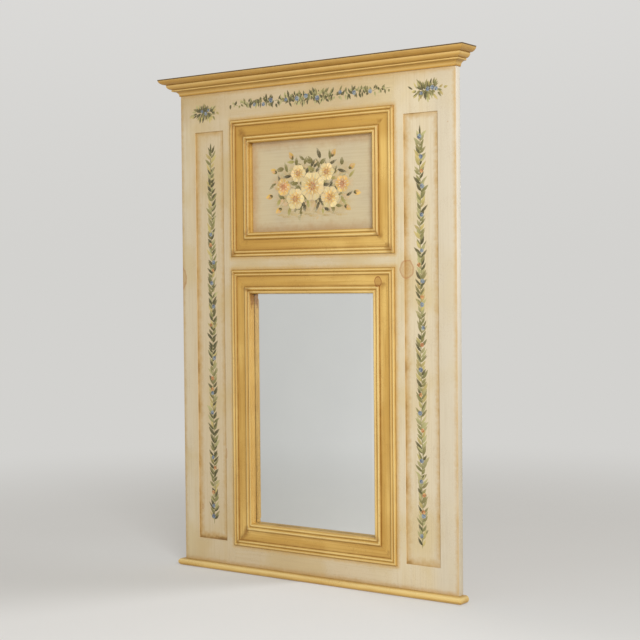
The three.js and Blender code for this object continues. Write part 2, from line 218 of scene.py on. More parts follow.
def start_group(name, inputs, outputs):
    tree = bpy.data.node_groups.new(name, "ShaderNodeTree")
    for socket_name, kind in inputs:
        tree.interface.new_socket(name=socket_name, in_out="INPUT", socket_type=KINDS[kind])
    for socket_name, kind in outputs:
        tree.interface.new_socket(name=socket_name, in_out="OUTPUT", socket_type=KINDS[kind])
    given = tree.nodes.new("NodeGroupInput").outputs
    results = tree.nodes.new("NodeGroupOutput").inputs
    return tree, given, results


def use_group(tree, group, **values):
    """Places a group; half_width=0.2 feeds its Half Width input."""
    node = tree.nodes.new("ShaderNodeGroup")
    node.node_tree = group
    for name, source in values.items():
        feed(tree, node.inputs[name.replace("_", " ").title()], source)
    return node.outputs


# %% [markdown]
# ## How far from a rectangle
# The brown glaze was wiped into every corner: round the frames, inside the sunk fields and along the
# edges of the body. All of these are rectangles in the front view, so one group measures how far a point
# lies from a rectangle. It is negative inside. Its second output is 0 on the lines where mitres run.

# %% Rectangle distance group
rectangle_distance, given, results = start_group(
    "rectangle_distance",
    [("Vector", "vector"), ("Centre X", "value"), ("Centre Z", "value"), ("Half Width", "value"), ("Half Height", "value")],
    [("Distance", "value"), ("Mitre", "value")])
split = rectangle_distance.nodes.new("ShaderNodeSeparateXYZ")
feed(rectangle_distance, split.inputs[0], given["Vector"])
reach_x = calc(rectangle_distance, "ABSOLUTE", calc(rectangle_distance, "SUBTRACT", split.outputs["X"], given["Centre X"]))
reach_z = calc(rectangle_distance, "ABSOLUTE", calc(rectangle_distance, "SUBTRACT", split.outputs["Z"], given["Centre Z"]))
past_x = calc(rectangle_distance, "SUBTRACT", reach_x, given["Half Width"])
past_z = calc(rectangle_distance, "SUBTRACT", reach_z, given["Half Height"])
square_x = calc(rectangle_distance, "POWER", calc(rectangle_distance, "MAXIMUM", past_x, 0.0), 2.0)
square_z = calc(rectangle_distance, "POWER", calc(rectangle_distance, "MAXIMUM", past_z, 0.0), 2.0)
outside = calc(rectangle_distance, "SQRT", calc(rectangle_distance, "ADD", square_x, square_z))
inside = calc(rectangle_distance, "MINIMUM", calc(rectangle_distance, "MAXIMUM", past_x, past_z), 0.0)
feed(rectangle_distance, results["Distance"], calc(rectangle_distance, "ADD", outside, inside))
feed(rectangle_distance, results["Mitre"], calc(rectangle_distance, "ABSOLUTE", calc(rectangle_distance, "SUBTRACT", past_x, past_z)))
print("group", rectangle_distance.name)

# %% [markdown]
# ## A wiped edge of glaze
# Glaze is thick brown wash that is brushed on and wiped off again. It stays darkest in the corner and
# fades out unevenly, so the distance is disturbed with noise before it fades.

# %% Glaze edge group
glaze_edge, given, results = start_group(
    "glaze_edge", [("Vector", "vector"), ("Distance", "value"), ("Width", "value")], [("Glaze", "value")])
unevenness = calc(glaze_edge, "SUBTRACT", noise(glaze_edge, given["Vector"], 95.0, 5.0), 0.5)
reach = calc(glaze_edge, "MULTIPLY", unevenness, calc(glaze_edge, "MULTIPLY", given["Width"], 0.9))
wandering = calc(glaze_edge, "ADD", given["Distance"], reach)
soft = fade(glaze_edge, wandering, 0.0, given["Width"])
patchy = calc(glaze_edge, "ADD", 0.25, calc(glaze_edge, "MULTIPLY", noise(glaze_edge, given["Vector"], 21.0, 3.0), 1.5))
started = calc(glaze_edge, "SUBTRACT", 1.0, fade(glaze_edge, given["Distance"], -0.0008, 0.0))
feed(glaze_edge, results["Glaze"], calc(glaze_edge, "MULTIPLY", calc(glaze_edge, "MULTIPLY", soft, patchy), started))
print("group", glaze_edge.name)

# %% [markdown]
# ## Wood grain under the paint
# The boards are pine, and a thin coat of paint lets the grain read as fine streaks along each board. The
# group has its streaks along Z; a board that lies across gets its vector turned by a Mapping node first.

# %% Streaks group
streaks, given, results = start_group("streaks", [("Vector", "vector")], [("Fine", "value"), ("Broad", "value")])
feed(streaks, results["Fine"], noise(streaks, scaled(streaks, given["Vector"], (230.0, 230.0, 7.0)), 1.0, 6.0))
feed(streaks, results["Broad"], noise(streaks, scaled(streaks, given["Vector"], (48.0, 48.0, 2.0)), 1.0, 4.0))

# %% [markdown]
# ## Cracks and clouds
# Old paint crazes into a net of hairlines, in patches. A Voronoi texture that measures the distance to the
# nearest cell edge gives that net. The clouds are the soft patches where the paint has yellowed.

# %% Crackle group
crackle, given, results = start_group("crackle", [("Vector", "vector")], [("Cracks", "value"), ("Clouds", "value")])
bend = noise(crackle, given["Vector"], 70.0, 2.0)
bent = crackle.nodes.new("ShaderNodeVectorMath")
bent.operation = "MULTIPLY_ADD"
feed(crackle, bent.inputs[0], bend)
feed(crackle, bent.inputs[1], (0.006, 0.006, 0.006))
feed(crackle, bent.inputs[2], given["Vector"])
cells = crackle.nodes.new("ShaderNodeTexVoronoi")
cells.feature = "DISTANCE_TO_EDGE"
feed(crackle, cells.inputs["Vector"], scaled(crackle, bent.outputs[0], (210.0, 210.0, 120.0)))
feed(crackle, cells.inputs["Scale"], 1.0)
hairline = fade(crackle, cells.outputs["Distance"], 0.01, 0.055)
patches = calc(crackle, "SUBTRACT", 1.0, fade(crackle, noise(crackle, given["Vector"], 16.0, 3.0), 0.42, 0.62))
feed(crackle, results["Cracks"], calc(crackle, "MULTIPLY", hairline, patches))
feed(crackle, results["Clouds"], noise(crackle, given["Vector"], 7.0, 4.0))

# %% [markdown]
# ## Knots
# Knots bleed through thin paint as brown rings. A ring is where the distance from the knot's centre comes
# near its radius; noise makes it wander.

# %% Knot group
knot, given, results = start_group(
    "knot",
    [("Vector", "vector"), ("Centre X", "value"), ("Centre Z", "value"), ("Radius", "value"), ("Stretch", "value")],
    [("Ring", "value"), ("Stain", "value")])
split = knot.nodes.new("ShaderNodeSeparateXYZ")
feed(knot, split.inputs[0], given["Vector"])
off_x = calc(knot, "SUBTRACT", split.outputs["X"], given["Centre X"])
off_z = calc(knot, "DIVIDE", calc(knot, "SUBTRACT", split.outputs["Z"], given["Centre Z"]), given["Stretch"])
radial = calc(knot, "SQRT", calc(knot, "ADD", calc(knot, "POWER", calc(knot, "ABSOLUTE", off_x), 2.0),
                                 calc(knot, "POWER", calc(knot, "ABSOLUTE", off_z), 2.0)))
wander = calc(knot, "MULTIPLY", calc(knot, "SUBTRACT", noise(knot, given["Vector"], 90.0, 2.0), 0.5), 0.35)
share = calc(knot, "ADD", calc(knot, "DIVIDE", radial, given["Radius"]), wander)
rim = fade(knot, calc(knot, "ABSOLUTE", calc(knot, "SUBTRACT", share, 1.0)), 0.02, 0.16)
year_rings = calc(knot, "MULTIPLY", calc(knot, "ABSOLUTE", calc(knot, "SINE", calc(knot, "MULTIPLY", share, 9.0))), 0.35)
within = fade(knot, share, 0.85, 1.05)
feed(knot, results["Ring"], calc(knot, "MAXIMUM", rim, calc(knot, "MULTIPLY", year_rings, within)))
feed(knot, results["Stain"], within)

# %% [markdown]
# ## Bare pine
# The backs of the boards and the two battens were never painted. Growth rings are a saw-like wave across
# the board that noise bends along its length.

# %% Pine group
pine_grain, given, results = start_group("pine_grain", [("Vector", "vector")], [("Color", "colour"), ("Height", "value")])
drift = noise(pine_grain, scaled(pine_grain, given["Vector"], (9.0, 9.0, 1.6)), 1.0, 3.0)
rings = pine_grain.nodes.new("ShaderNodeTexWave")
rings.wave_type = "RINGS"
rings.rings_direction = "Z"
rings.wave_profile = "SAW"
feed(pine_grain, rings.inputs["Vector"], scaled(pine_grain, given["Vector"], (5.0, 5.0, 0.5)))
feed(pine_grain, rings.inputs["Scale"], 4.5)
feed(pine_grain, rings.inputs["Distortion"], 10.0)
feed(pine_grain, rings.inputs["Detail"], 2.0)
fibres = noise(pine_grain, scaled(pine_grain, given["Vector"], (500.0, 500.0, 12.0)), 1.0, 4.0)
light_wood = blend(pine_grain, drift, colour("dcbd8c"), colour("cda671"))
late = calc(pine_grain, "POWER", rings.outputs[1], 2.4)
latewood = blend(pine_grain, calc(pine_grain, "MULTIPLY", late, 0.65), light_wood, colour("b58750"))
feed(pine_grain, results["Color"], blend(pine_grain, calc(pine_grain, "MULTIPLY", fibres, 0.3), latewood, colour("a87c48")))
feed(pine_grain, results["Height"], calc(pine_grain, "ADD", fibres, calc(pine_grain, "MULTIPLY", late, 0.25)))
print("groups:", [group.name for group in bpy.data.node_groups])

# %% [markdown]
# ## Starting a finish
# Every finish starts from the Principled shader and from Object coordinates, which stay fixed to the piece
# in metres. Upright boards use them as they are, and boards that lie across turn them by a quarter, so that
# the streaks always run along the board.


# %% Finish helpers
def start_finish(name, roughness=0.5, metallic=0.0):
    material = bpy.data.materials.new(name)
    material.use_nodes = True
    tree = material.node_tree
    surface = tree.nodes["Principled BSDF"]
    surface.inputs["Roughness"].default_value = roughness
    surface.inputs["Metallic"].default_value = metallic
    return material, tree, surface, tree.nodes.new("ShaderNodeTexCoord").outputs["Object"]


def turned_place(tree, place, lies_across):
    if not lies_across:
        return place
    mapping = tree.nodes.new("ShaderNodeMapping")
    mapping.inputs["Rotation"].default_value = (0, math.radians(90), 0)
    feed(tree, mapping.inputs["Vector"], place)
    return mapping.outputs[0]


def add_relief(tree, surface, height, strength, depth):
    bump = tree.nodes.new("ShaderNodeBump")
    bump.inputs["Strength"].default_value = strength
    bump.inputs["Distance"].default_value = depth
    feed(tree, bump.inputs["Height"], height)
    feed(tree, surface.inputs["Normal"], bump.outputs[0])


def distance_to(tree, place, outline, centre_x=0.0):
    return use_group(tree, rectangle_distance, vector=place, centre_x=centre_x, centre_z=outline["middle"],
                     half_width=outline["half_width"], half_height=outline["half_height"])


def negative(tree, value):
    return calc(tree, "MULTIPLY", value, -1.0)


def share_of(tree, mask, strength):
    return calc(tree, "MULTIPLY", mask, strength)


def beyond(tree, value, start, end):
    """0 up to start and 1 from end on."""
    return calc(tree, "SUBTRACT", 1.0, fade(tree, value, start, end))


def split_place(tree, place):
    node = tree.nodes.new("ShaderNodeSeparateXYZ")
    feed(tree, node.inputs[0], place)
    return node.outputs


def glaze_along(tree, place, distance, width, strength):
    glaze = use_group(tree, glaze_edge, vector=place, distance=distance, width=width)["Glaze"]
    return calc(tree, "MULTIPLY", glaze, strength)


def strongest(tree, masks):
    result = masks[0]
    for mask in masks[1:]:
        result = calc(tree, "MAXIMUM", result, mask)
    return result


def painted_with(material, tree, surface, paint, strength, depth):
    """Feeds a paint group's colour, roughness and relief to the shader."""
    feed(tree, surface.inputs["Base Color"], paint["Color"])
    feed(tree, surface.inputs["Roughness"], paint["Roughness"])
    add_relief(tree, surface, paint["Height"], strength, depth)
    return material


# %% [markdown]
# ## Cream paint
# The boards carry a thin cream coat. Tan glaze sits along the body's edges, round both moulded frames and,
# strongest, inside the sunk fields. Knots show through, and the boards' backs were left bare. The glaze
# could be painted on by hand, but measuring it from the edges keeps it right on every board.

# %% Cream paint
CREAM = colour("d6c6a7")
YELLOWED_CREAM = colour("d1bd93")
DUSTY_CREAM = colour("c1ac88")
# the colour of the painted shade under the cornice and on the left half
PAINTED_SHADE_CREAM = colour("b99c6c")
GREYER_CREAM = colour("c4baa8")
SIDE_CREAM = colour("e8e0d2")
TAN_GLAZE = colour("bc9759")
BROWN_GLAZE = colour("765328")
CRACK_BROWN = colour("a5855c")
OCHRE_SMUDGE = colour("cba765")
KNOT_BROWN = colour("a86f3c")
KNOTS = [  # centre x, centre z, radius and stretch along the grain
    (286 * MM, -430 * MM, 17 * MM, 1.25),
    (-434 * MM, -445 * MM, 21 * MM, 1.5),
    (-367 * MM, -1057 * MM, 4 * MM, 1.6),
    (-281 * MM, -909 * MM, 4 * MM, 3.5),
    (404 * MM, -86 * MM, 1.5 * MM, 1.0),
]
PAINTED = [("Vector", "vector"), ("Along", "vector")]
FINISHED = [("Color", "colour"), ("Roughness", "value"), ("Height", "value")]

aged_cream, given, results = start_group("aged_cream", PAINTED, FINISHED)
place = given["Vector"]
grain = use_group(aged_cream, streaks, vector=given["Along"])
age = use_group(aged_cream, crackle, vector=place)
at = split_place(aged_cream, place)

yellowed = beyond(aged_cream, age["Clouds"], 0.42, 0.62)
coat = blend(aged_cream, yellowed, CREAM, YELLOWED_CREAM)
coat = blend(aged_cream, share_of(aged_cream, fade(aged_cream, grain["Fine"], 0.36, 0.52), 0.3), coat, DUSTY_CREAM)
coat = blend(aged_cream, share_of(aged_cream, fade(aged_cream, grain["Broad"], 0.34, 0.5), 0.35), coat, YELLOWED_CREAM)

# %% [markdown]
# Painted shade darkens the coat under the cornice, whose overhang shades the frieze, and on the left half, away
# from the light. The outer strip of the right board is a greyer cream.

# %% Painted shade, a greyer cream and the side face
left_half = fade(aged_cream, at["X"], 100 * MM, 280 * MM)
off_edge = beyond(aged_cream, at["X"], -410 * MM, -370 * MM)
under_cornice = beyond(aged_cream, at["Z"], -60 * MM, -15 * MM)
top_left = calc(aged_cream, "MULTIPLY", under_cornice, left_half)
# Painted shade under the cornice's overhang and on the left half, away from the light, made uneven by the clouds.
painted_shade = strongest(aged_cream, [share_of(aged_cream, calc(aged_cream, "MULTIPLY", left_half, off_edge), 0.34),
                                share_of(aged_cream, top_left, 0.5),
                                share_of(aged_cream, beyond(aged_cream, at["Z"], -8 * MM, 40 * MM), 0.35)])
painted_shade = calc(aged_cream, "MULTIPLY", painted_shade, calc(aged_cream, "ADD", 0.45, age["Clouds"]))
coat = blend(aged_cream, painted_shade, coat, PAINTED_SHADE_CREAM)
# a greyer cream on the outer strip of the right board
coat = blend(aged_cream, share_of(aged_cream, beyond(aged_cream, at["X"], 335 * MM, 395 * MM), 0.5), coat, GREYER_CREAM)
on_side = beyond(aged_cream, at["X"], BODY["half_width"] - 0.6 * MM, BODY["half_width"] - 0.2 * MM)
high_up = beyond(aged_cream, at["Z"], -950 * MM, -350 * MM)
coat = blend(aged_cream, share_of(aged_cream, calc(aged_cream, "MULTIPLY", on_side, high_up), 0.7), coat, SIDE_CREAM)

# %% [markdown]
# Then the glaze: one mask for every edge that it clings to, of which the strongest counts at each point.

# %% Glaze on the cream
edge = negative(aged_cream, distance_to(aged_cream, place, BODY)["Distance"])
edge_glaze = strongest(aged_cream, [glaze_along(aged_cream, place, edge, 13 * MM, 0.6),
                                    glaze_along(aged_cream, place, edge, 3 * MM, 0.6)])
in_front = fade(aged_cream, at["Y"], FACE + 0.5 * MM, FACE + 3 * MM)
outlines = [calc(aged_cream, "MULTIPLY", edge_glaze, in_front)]
smudges = []
for frame_shape in (PICTURE, MIRROR):
    outside = distance_to(aged_cream, place, frame_shape)["Distance"]
    outlines.append(glaze_along(aged_cream, place, outside, 9 * MM, 0.4))
    smudges.append(glaze_along(aged_cream, scaled(aged_cream, place, (1.7, 1.7, 1.7)), outside, 14 * MM, 0.6))
coat = blend(aged_cream, strongest(aged_cream, smudges), coat, OCHRE_SMUDGE)
above_foot = calc(aged_cream, "SUBTRACT", at["Z"], FIELD_FOOT)
for side in (-1, 1):
    within = negative(aged_cream, distance_to(aged_cream, place, FIELD, side * FIELD_X)["Distance"])
    outlines.append(glaze_along(aged_cream, place, within, 19 * MM, 0.75))
    corner_line = glaze_along(aged_cream, place, within, 2.5 * MM, 0.85)
    outlines.append(calc(aged_cream, "MULTIPLY", corner_line, beyond(aged_cream, above_foot, 0.0, 8 * MM)))
    sunk = beyond(aged_cream, within, -0.4 * MM, 0.0)
    outlines.append(calc(aged_cream, "MULTIPLY", glaze_along(aged_cream, place, above_foot, 24 * MM, 0.95), sunk))
glaze = strongest(aged_cream, outlines)
coat = blend(aged_cream, glaze, coat, TAN_GLAZE)
coat = blend(aged_cream, beyond(aged_cream, glaze, 0.7, 1.45), coat, BROWN_GLAZE)
coat = blend(aged_cream, share_of(aged_cream, age["Cracks"], 0.2), coat, CRACK_BROWN)

# %% [markdown]
# Last the knots, and the bare wood of the boards' backs and tops.

# %% Knots and bare wood
for centre_x, centre_z, radius, stretch in KNOTS:
    seen = use_group(aged_cream, knot, vector=place, centre_x=centre_x, centre_z=centre_z, radius=radius, stretch=stretch)
    coat = blend(aged_cream, share_of(aged_cream, seen["Stain"], 0.3), coat, TAN_GLAZE)
    coat = blend(aged_cream, share_of(aged_cream, seen["Ring"], 0.6), coat, KNOT_BROWN)
bare = calc(aged_cream, "MAXIMUM", beyond(aged_cream, at["Y"], BOARD_BACK - 0.6 * MM, BOARD_BACK - 0.2 * MM),
            beyond(aged_cream, at["Z"], BODY_TOP - 0.6 * MM, BODY_TOP - 0.2 * MM))
pine = use_group(aged_cream, pine_grain, vector=given["Along"])
feed(aged_cream, results["Color"], blend(aged_cream, bare, coat, pine["Color"]))
gloss = calc(aged_cream, "ADD", 0.42, share_of(aged_cream, grain["Broad"], 0.22))
feed(aged_cream, results["Roughness"], calc(aged_cream, "ADD", gloss, share_of(aged_cream, bare, 0.2)))
crack_depth = calc(aged_cream, "MULTIPLY", share_of(aged_cream, age["Cracks"], 0.8), calc(aged_cream, "SUBTRACT", 1.0, bare))
feed(aged_cream, results["Height"], calc(aged_cream, "SUBTRACT", grain["Fine"], crack_depth))


def cream_paint(name, lies_across):
    material, tree, surface, place = start_finish(name)
    paint = use_group(tree, aged_cream, vector=place, along=turned_place(tree, place, lies_across))
    return painted_with(material, tree, surface, paint, 0.35, 0.35 * MM)


cream_upright = cream_paint("cream_paint_upright", False)
cream_across = cream_paint("cream_paint_across", True)
print("group", aged_cream.name, len(aged_cream.nodes), "nodes")

# %% [markdown]
# ## Ochre paint
# The mouldings are ochre, with brown glaze and painted shade in every groove, and the crests rubbed back to a
# lighter yellow and lit with a painted highlight. Where grooves and crests lie is a matter of how far one is
# across the moulding, so each moulding has its own pair of ramps, and the coat itself is one shared group.

# %% Ochre coat
OCHRE = colour("ddb767")
DEEP_OCHRE = colour("c09342")
BROAD_OCHRE = colour("bf923f")
FINE_OCHRE = colour("b08236")
# the painted highlight on the rubbed crests, and the brown of the glaze and painted shade in the grooves
RUBBED_AND_HIGHLIT_OCHRE = colour("e8cf8e")
GLAZE_AND_SHADE_BROWN = colour("8c5d16")
RING_BROWN = colour("8f521c")

ochre_coat, given, results = start_group(
    "ochre_coat", PAINTED + [("Groove", "value"), ("Crest", "value"), ("Deepened", "value")], FINISHED)
place = given["Vector"]
grain = use_group(ochre_coat, streaks, vector=given["Along"])
age = use_group(ochre_coat, crackle, vector=place)
patchy = share_of(ochre_coat, beyond(ochre_coat, age["Clouds"], 0.4, 0.6), 0.5)
coat = blend(ochre_coat, calc(ochre_coat, "MAXIMUM", patchy, given["Deepened"]), OCHRE, DEEP_OCHRE)
coat = blend(ochre_coat, share_of(ochre_coat, fade(ochre_coat, grain["Broad"], 0.38, 0.6), 0.75), coat, BROAD_OCHRE)
coat = blend(ochre_coat, share_of(ochre_coat, fade(ochre_coat, grain["Fine"], 0.34, 0.5), 0.4), coat, FINE_OCHRE)
# crests: paint rubbed back, with a painted highlight on it
rubbed_and_highlit = calc(ochre_coat, "MULTIPLY", given["Crest"], calc(ochre_coat, "ADD", 0.35, grain["Broad"]))
coat = blend(ochre_coat, rubbed_and_highlit, coat, RUBBED_AND_HIGHLIT_OCHRE)
uneven = calc(ochre_coat, "ADD", 0.45, share_of(ochre_coat, noise(ochre_coat, place, 45.0, 3.0), 0.9))
# grooves: brown glaze with painted shade
coat = blend(ochre_coat, calc(ochre_coat, "MULTIPLY", given["Groove"], uneven), coat, GLAZE_AND_SHADE_BROWN)
feed(ochre_coat, results["Color"], blend(ochre_coat, share_of(ochre_coat, age["Cracks"], 0.3), coat, GLAZE_AND_SHADE_BROWN))
feed(ochre_coat, results["Roughness"], calc(ochre_coat, "ADD", 0.36, share_of(ochre_coat, grain["Broad"], 0.22)))
feed(ochre_coat, results["Height"], grain["Fine"])

# %% [markdown]
# Across a frame's moulding, from its outer edge: a bead, a groove, a second bead, the flat band, the inner
# bead, a groove and the lip that holds the pane. The places below are in millimetres.

# %% Marks on the frames
# Groove stops hold brown glaze and painted shade; crest stops hold rubbed paint and a painted highlight.
FRAME_GROOVES = [(0, 0.6), (1.4, 0.15), (4.4, 0.0), (7.4, 0.2), (8.4, 0.9), (9.5, 0.25), (12.5, 0.0), (15.4, 0.2),
                 (16.6, 0.95), (17.8, 0.4), (22, 0.1), (31, 0.0), (39, 0.1), (42.8, 0.35), (43.8, 0.95), (45.0, 0.25),
                 (48.6, 0.0), (52.5, 0.2), (53.6, 0.8), (54.8, 0.2), (57.8, 0.0), (61.0, 0.1), (62, 0.25)]
FRAME_CRESTS = [(2.2, 0), (4.2, 1), (6.2, 0), (10.6, 0), (12.4, 0.9), (14.4, 0), (45.8, 0), (48.2, 1), (50.6, 0),
                (55.8, 0), (57.9, 0.9), (60.2, 0)]
FRAME_KNOT = {"centre_x": 205 * MM, "centre_z": -459 * MM, "radius": 9.5 * MM, "stretch": 1.25}
STAIN_X = MEMBER_WIDTH - MIRROR["half_width"]
STAIN_TOP = MIRROR["middle"] + MIRROR["half_height"] - MEMBER_WIDTH


def moulding_ramp(tree, share, stops, width):
    return ramp(tree, share, [(place * MM / width, level) for place, level in stops])


frame_marks, given, results = start_group(
    "frame_marks", [("Vector", "vector"), ("Wall Glaze", "value")],
    [("Groove", "value"), ("Crest", "value"), ("Deepened", "value"), ("Ring", "value"), ("Bare", "value")])
place = given["Vector"]
picture = distance_to(frame_marks, place, PICTURE)
mirror = distance_to(frame_marks, place, MIRROR)
across = negative(frame_marks, calc(frame_marks, "MINIMUM", picture["Distance"], mirror["Distance"]))
share = calc(frame_marks, "DIVIDE", across, MEMBER_WIDTH)
feed(frame_marks, results["Crest"], moulding_ramp(frame_marks, share, FRAME_CRESTS, MEMBER_WIDTH))

mitre = calc(frame_marks, "MINIMUM", picture["Mitre"], mirror["Mitre"])
patches = share_of(frame_marks, beyond(frame_marks, noise(frame_marks, place, 38.0, 4.0), 0.48, 0.66), 0.8)
at = split_place(frame_marks, place)
wall = beyond(frame_marks, at["Y"], FACE - 2 * MM, FACE + 14 * MM)
below_corner = calc(frame_marks, "SUBTRACT", STAIN_TOP, at["Z"])
beside_pane = calc(frame_marks, "MULTIPLY", beyond(frame_marks, at["X"], STAIN_X - 3 * MM, STAIN_X - 1 * MM),
                   fade(frame_marks, at["X"], STAIN_X + 2 * MM, STAIN_X + 4 * MM))
stain = calc(frame_marks, "MULTIPLY", glaze_along(frame_marks, place, below_corner, 55 * MM, 1.3), beside_pane)
in_front = fade(frame_marks, at["Y"], FACE + 0.5 * MM, FACE + 4 * MM)
on_wall = calc(frame_marks, "MULTIPLY", beyond(frame_marks, at["Y"], FACE - 5 * MM, FACE),
               fade(frame_marks, at["Y"], PANE_FRONT - 0.8 * MM, PANE_FRONT - 0.2 * MM))
feed(frame_marks, results["Groove"], strongest(frame_marks, [
    moulding_ramp(frame_marks, share, FRAME_GROOVES, MEMBER_WIDTH),
    calc(frame_marks, "MULTIPLY", fade(frame_marks, mitre, 0.0, 26 * MM), patches),
    calc(frame_marks, "MULTIPLY", wall, given["Wall Glaze"]),
    calc(frame_marks, "MULTIPLY", stain, on_wall)]))

# %% [markdown]
# The picture's frame and the top of the mirror's are a deeper ochre, most of all at the left. One knot
# shows as a brown ring near the mirror frame's upper right corner.

# %% Deeper parts and the knot
higher = beyond(frame_marks, at["Z"], -520 * MM, -430 * MM)
highest = share_of(frame_marks, beyond(frame_marks, at["Z"], -130 * MM, -90 * MM), 0.7)
to_the_left = calc(frame_marks, "ADD", fade(frame_marks, at["X"], -200 * MM, 230 * MM), highest)
deepened = calc(frame_marks, "MULTIPLY", calc(frame_marks, "MULTIPLY", higher, to_the_left), in_front)
feed(frame_marks, results["Deepened"], deepened)
ring = use_group(frame_marks, knot, vector=place, **FRAME_KNOT)
feed(frame_marks, results["Ring"], strongest(frame_marks, [ring["Ring"], share_of(frame_marks, ring["Stain"], 0.35)]))
feed(frame_marks, results["Bare"], beyond(frame_marks, at["Y"], BOARD_BACK - 0.6 * MM, BOARD_BACK - 0.2 * MM))


def frame_paint(name, lies_across, wall_glaze):
    material, tree, surface, place = start_finish(name)
    along = turned_place(tree, place, lies_across)
    marks = use_group(tree, frame_marks, vector=place, wall_glaze=wall_glaze)
    paint = use_group(tree, ochre_coat, vector=place, along=along,
                      groove=marks["Groove"], crest=marks["Crest"], deepened=marks["Deepened"])
    painted_with(material, tree, surface, paint, 0.3, 0.3 * MM)
    ringed = blend(tree, marks["Ring"], paint["Color"], RING_BROWN)
    pine = use_group(tree, pine_grain, vector=along)
    feed(tree, surface.inputs["Base Color"], blend(tree, marks["Bare"], ringed, pine["Color"]))
    return material


frame_upright = frame_paint("ochre_frame_upright", False, 0.38)
frame_across = frame_paint("ochre_frame_across", True, 0.25)

# %% [markdown]
# The cornice and the sill run level all round, so height alone tells where their grooves are. Their groove
# ramps hold brown glaze and painted shade, most under the cornice's bead and ovolo and along the sill's foot;
# their crest ramps are painted highlights on the bead, the ovolo's top, the roll and the top of the sill's nose.
# A thin dark line is painted along the upper edge of the cornice.

# %% Ochre on the cornice and the sill
CORNICE_HEIGHT = BODY_TOP - CORNICE_FOOT
# groove stops: glaze and painted shade under the bead, the ovolo and the quirk; crest stops: painted highlights
CORNICE_GROOVES = [(0, 0.85), (1.6, 0.4), (4, 0.1), (9, 0.15), (11.8, 0.35), (12.6, 0.6), (13.6, 0.1), (16.8, 0.1),
                   (18, 0.55), (19.5, 0.3), (23, 0.1), (28, 0.1), (29.1, 0.6), (30.4, 0.55), (32, 0.4), (36, 0.35),
                   (42, 0.2), (44, 0.45)]
CORNICE_CRESTS = [(2.5, 0), (5.5, 0.35), (9.5, 0.1), (13.4, 0.2), (15.2, 0.8), (16.8, 0.1), (23, 0.1), (27.4, 0.55),
                  (28.8, 0), (33, 0), (38, 0.15), (43, 0.35)]
SILL_LOW, SILL_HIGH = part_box("sill")
SILL_HEIGHT = SILL_HIGH[2] - SILL_LOW[2]
# the sill's foot is painted darker as shade, and the top of its nose lighter as a highlight
SILL_GROOVES = [(0, 0.5), (3, 0.2), (8, 0.0), (14, 0.0), (16.5, 0.15), (18, 0.3)]
SILL_CRESTS = [(6, 0.0), (11, 0.5), (15, 0.9), (18, 0.3)]
TOP_LINE_BROWN = colour("2e1a0e")


def level_paint(name, foot, height, grooves, crests, deepened, top_line):
    material, tree, surface, place = start_finish(name)
    level = split_place(tree, place)["Z"]
    share = calc(tree, "DIVIDE", calc(tree, "SUBTRACT", level, foot), height)
    paint = use_group(tree, ochre_coat, vector=place, along=turned_place(tree, place, True), deepened=deepened,
                      groove=moulding_ramp(tree, share, grooves, height), crest=moulding_ramp(tree, share, crests, height))
    painted_with(material, tree, surface, paint, 0.3, 0.3 * MM)
    top = foot + height
    # a thin dark line painted along the upper edge of the cornice
    line = calc(tree, "SUBTRACT", beyond(tree, level, top - 3.3 * MM, top - 2.1 * MM),
                beyond(tree, level, top - 0.3 * MM, top - 0.1 * MM))
    lined = blend(tree, share_of(tree, line, top_line), paint["Color"], TOP_LINE_BROWN)
    feed(tree, surface.inputs["Base Color"], lined)
    return material


cornice_paint = level_paint("ochre_cornice", CORNICE_FOOT, CORNICE_HEIGHT, CORNICE_GROOVES, CORNICE_CRESTS, 0.85, 0.9)
sill_paint = level_paint("ochre_sill", SILL_LOW[2], SILL_HEIGHT, SILL_GROOVES, SILL_CRESTS, 0.2, 0.0)
print("ochre paints:", frame_upright.name, cornice_paint.name, sill_paint.name)

# %% [markdown]
# ## The picture panel's ground
# Behind the painted flowers lies a dull cream ground, brushed across, stained brown round its edges where
# the frame meets it, with a soft warm wash under the flowers.

# %% Panel ground
PANEL_CREAM = colour("c5b594")
PANEL_GREY = colour("b7a482")
SIGHT = {key: PICTURE[key] - (0 if key == "middle" else MEMBER_WIDTH) for key in PICTURE}


def panel_ground():
    material, tree, surface, place = start_finish("panel_paint")
    grain = use_group(tree, streaks, vector=turned_place(tree, place, True))
    age = use_group(tree, crackle, vector=place)
    ground = blend(tree, calc(tree, "MULTIPLY", fade(tree, grain["Fine"], 0.38, 0.6), 0.4), PANEL_CREAM, PANEL_GREY)
    ground = blend(tree, calc(tree, "MULTIPLY", fade(tree, age["Clouds"], 0.4, 0.6), 0.4), ground, colour("cfbd94"))
    inward = negative(tree, distance_to(tree, place, SIGHT)["Distance"])
    stain = strongest(tree, [glaze_along(tree, place, inward, 30 * MM, 0.55), glaze_along(tree, place, inward, 6 * MM, 0.6)])
    ground = blend(tree, stain, ground, colour("b08a5c"))
    wash_shape = {"middle": SIGHT["middle"] - 14 * MM, "half_width": 82 * MM, "half_height": 28 * MM}
    wash = glaze_along(tree, place, distance_to(tree, place, wash_shape)["Distance"], 50 * MM, 0.6)
    ground = blend(tree, wash, ground, colour("b5924e"))
    ground = blend(tree, calc(tree, "MULTIPLY", age["Cracks"], 0.15), ground, CRACK_BROWN)
    feed(tree, surface.inputs["Base Color"], ground)
    feed(tree, surface.inputs["Roughness"], calc(tree, "ADD", 0.48, calc(tree, "MULTIPLY", grain["Broad"], 0.2)))
    add_relief(tree, surface, grain["Fine"], 0.3, 0.3 * MM)
    return material


panel_paint = panel_ground()

# %% [markdown]
# ## Silvered glass
# A mirror is a polished metal layer behind clear glass. A metal shader with almost no roughness gives the
# reflection, and the coat on top is the glass. Faint smears keep it from looking computed.

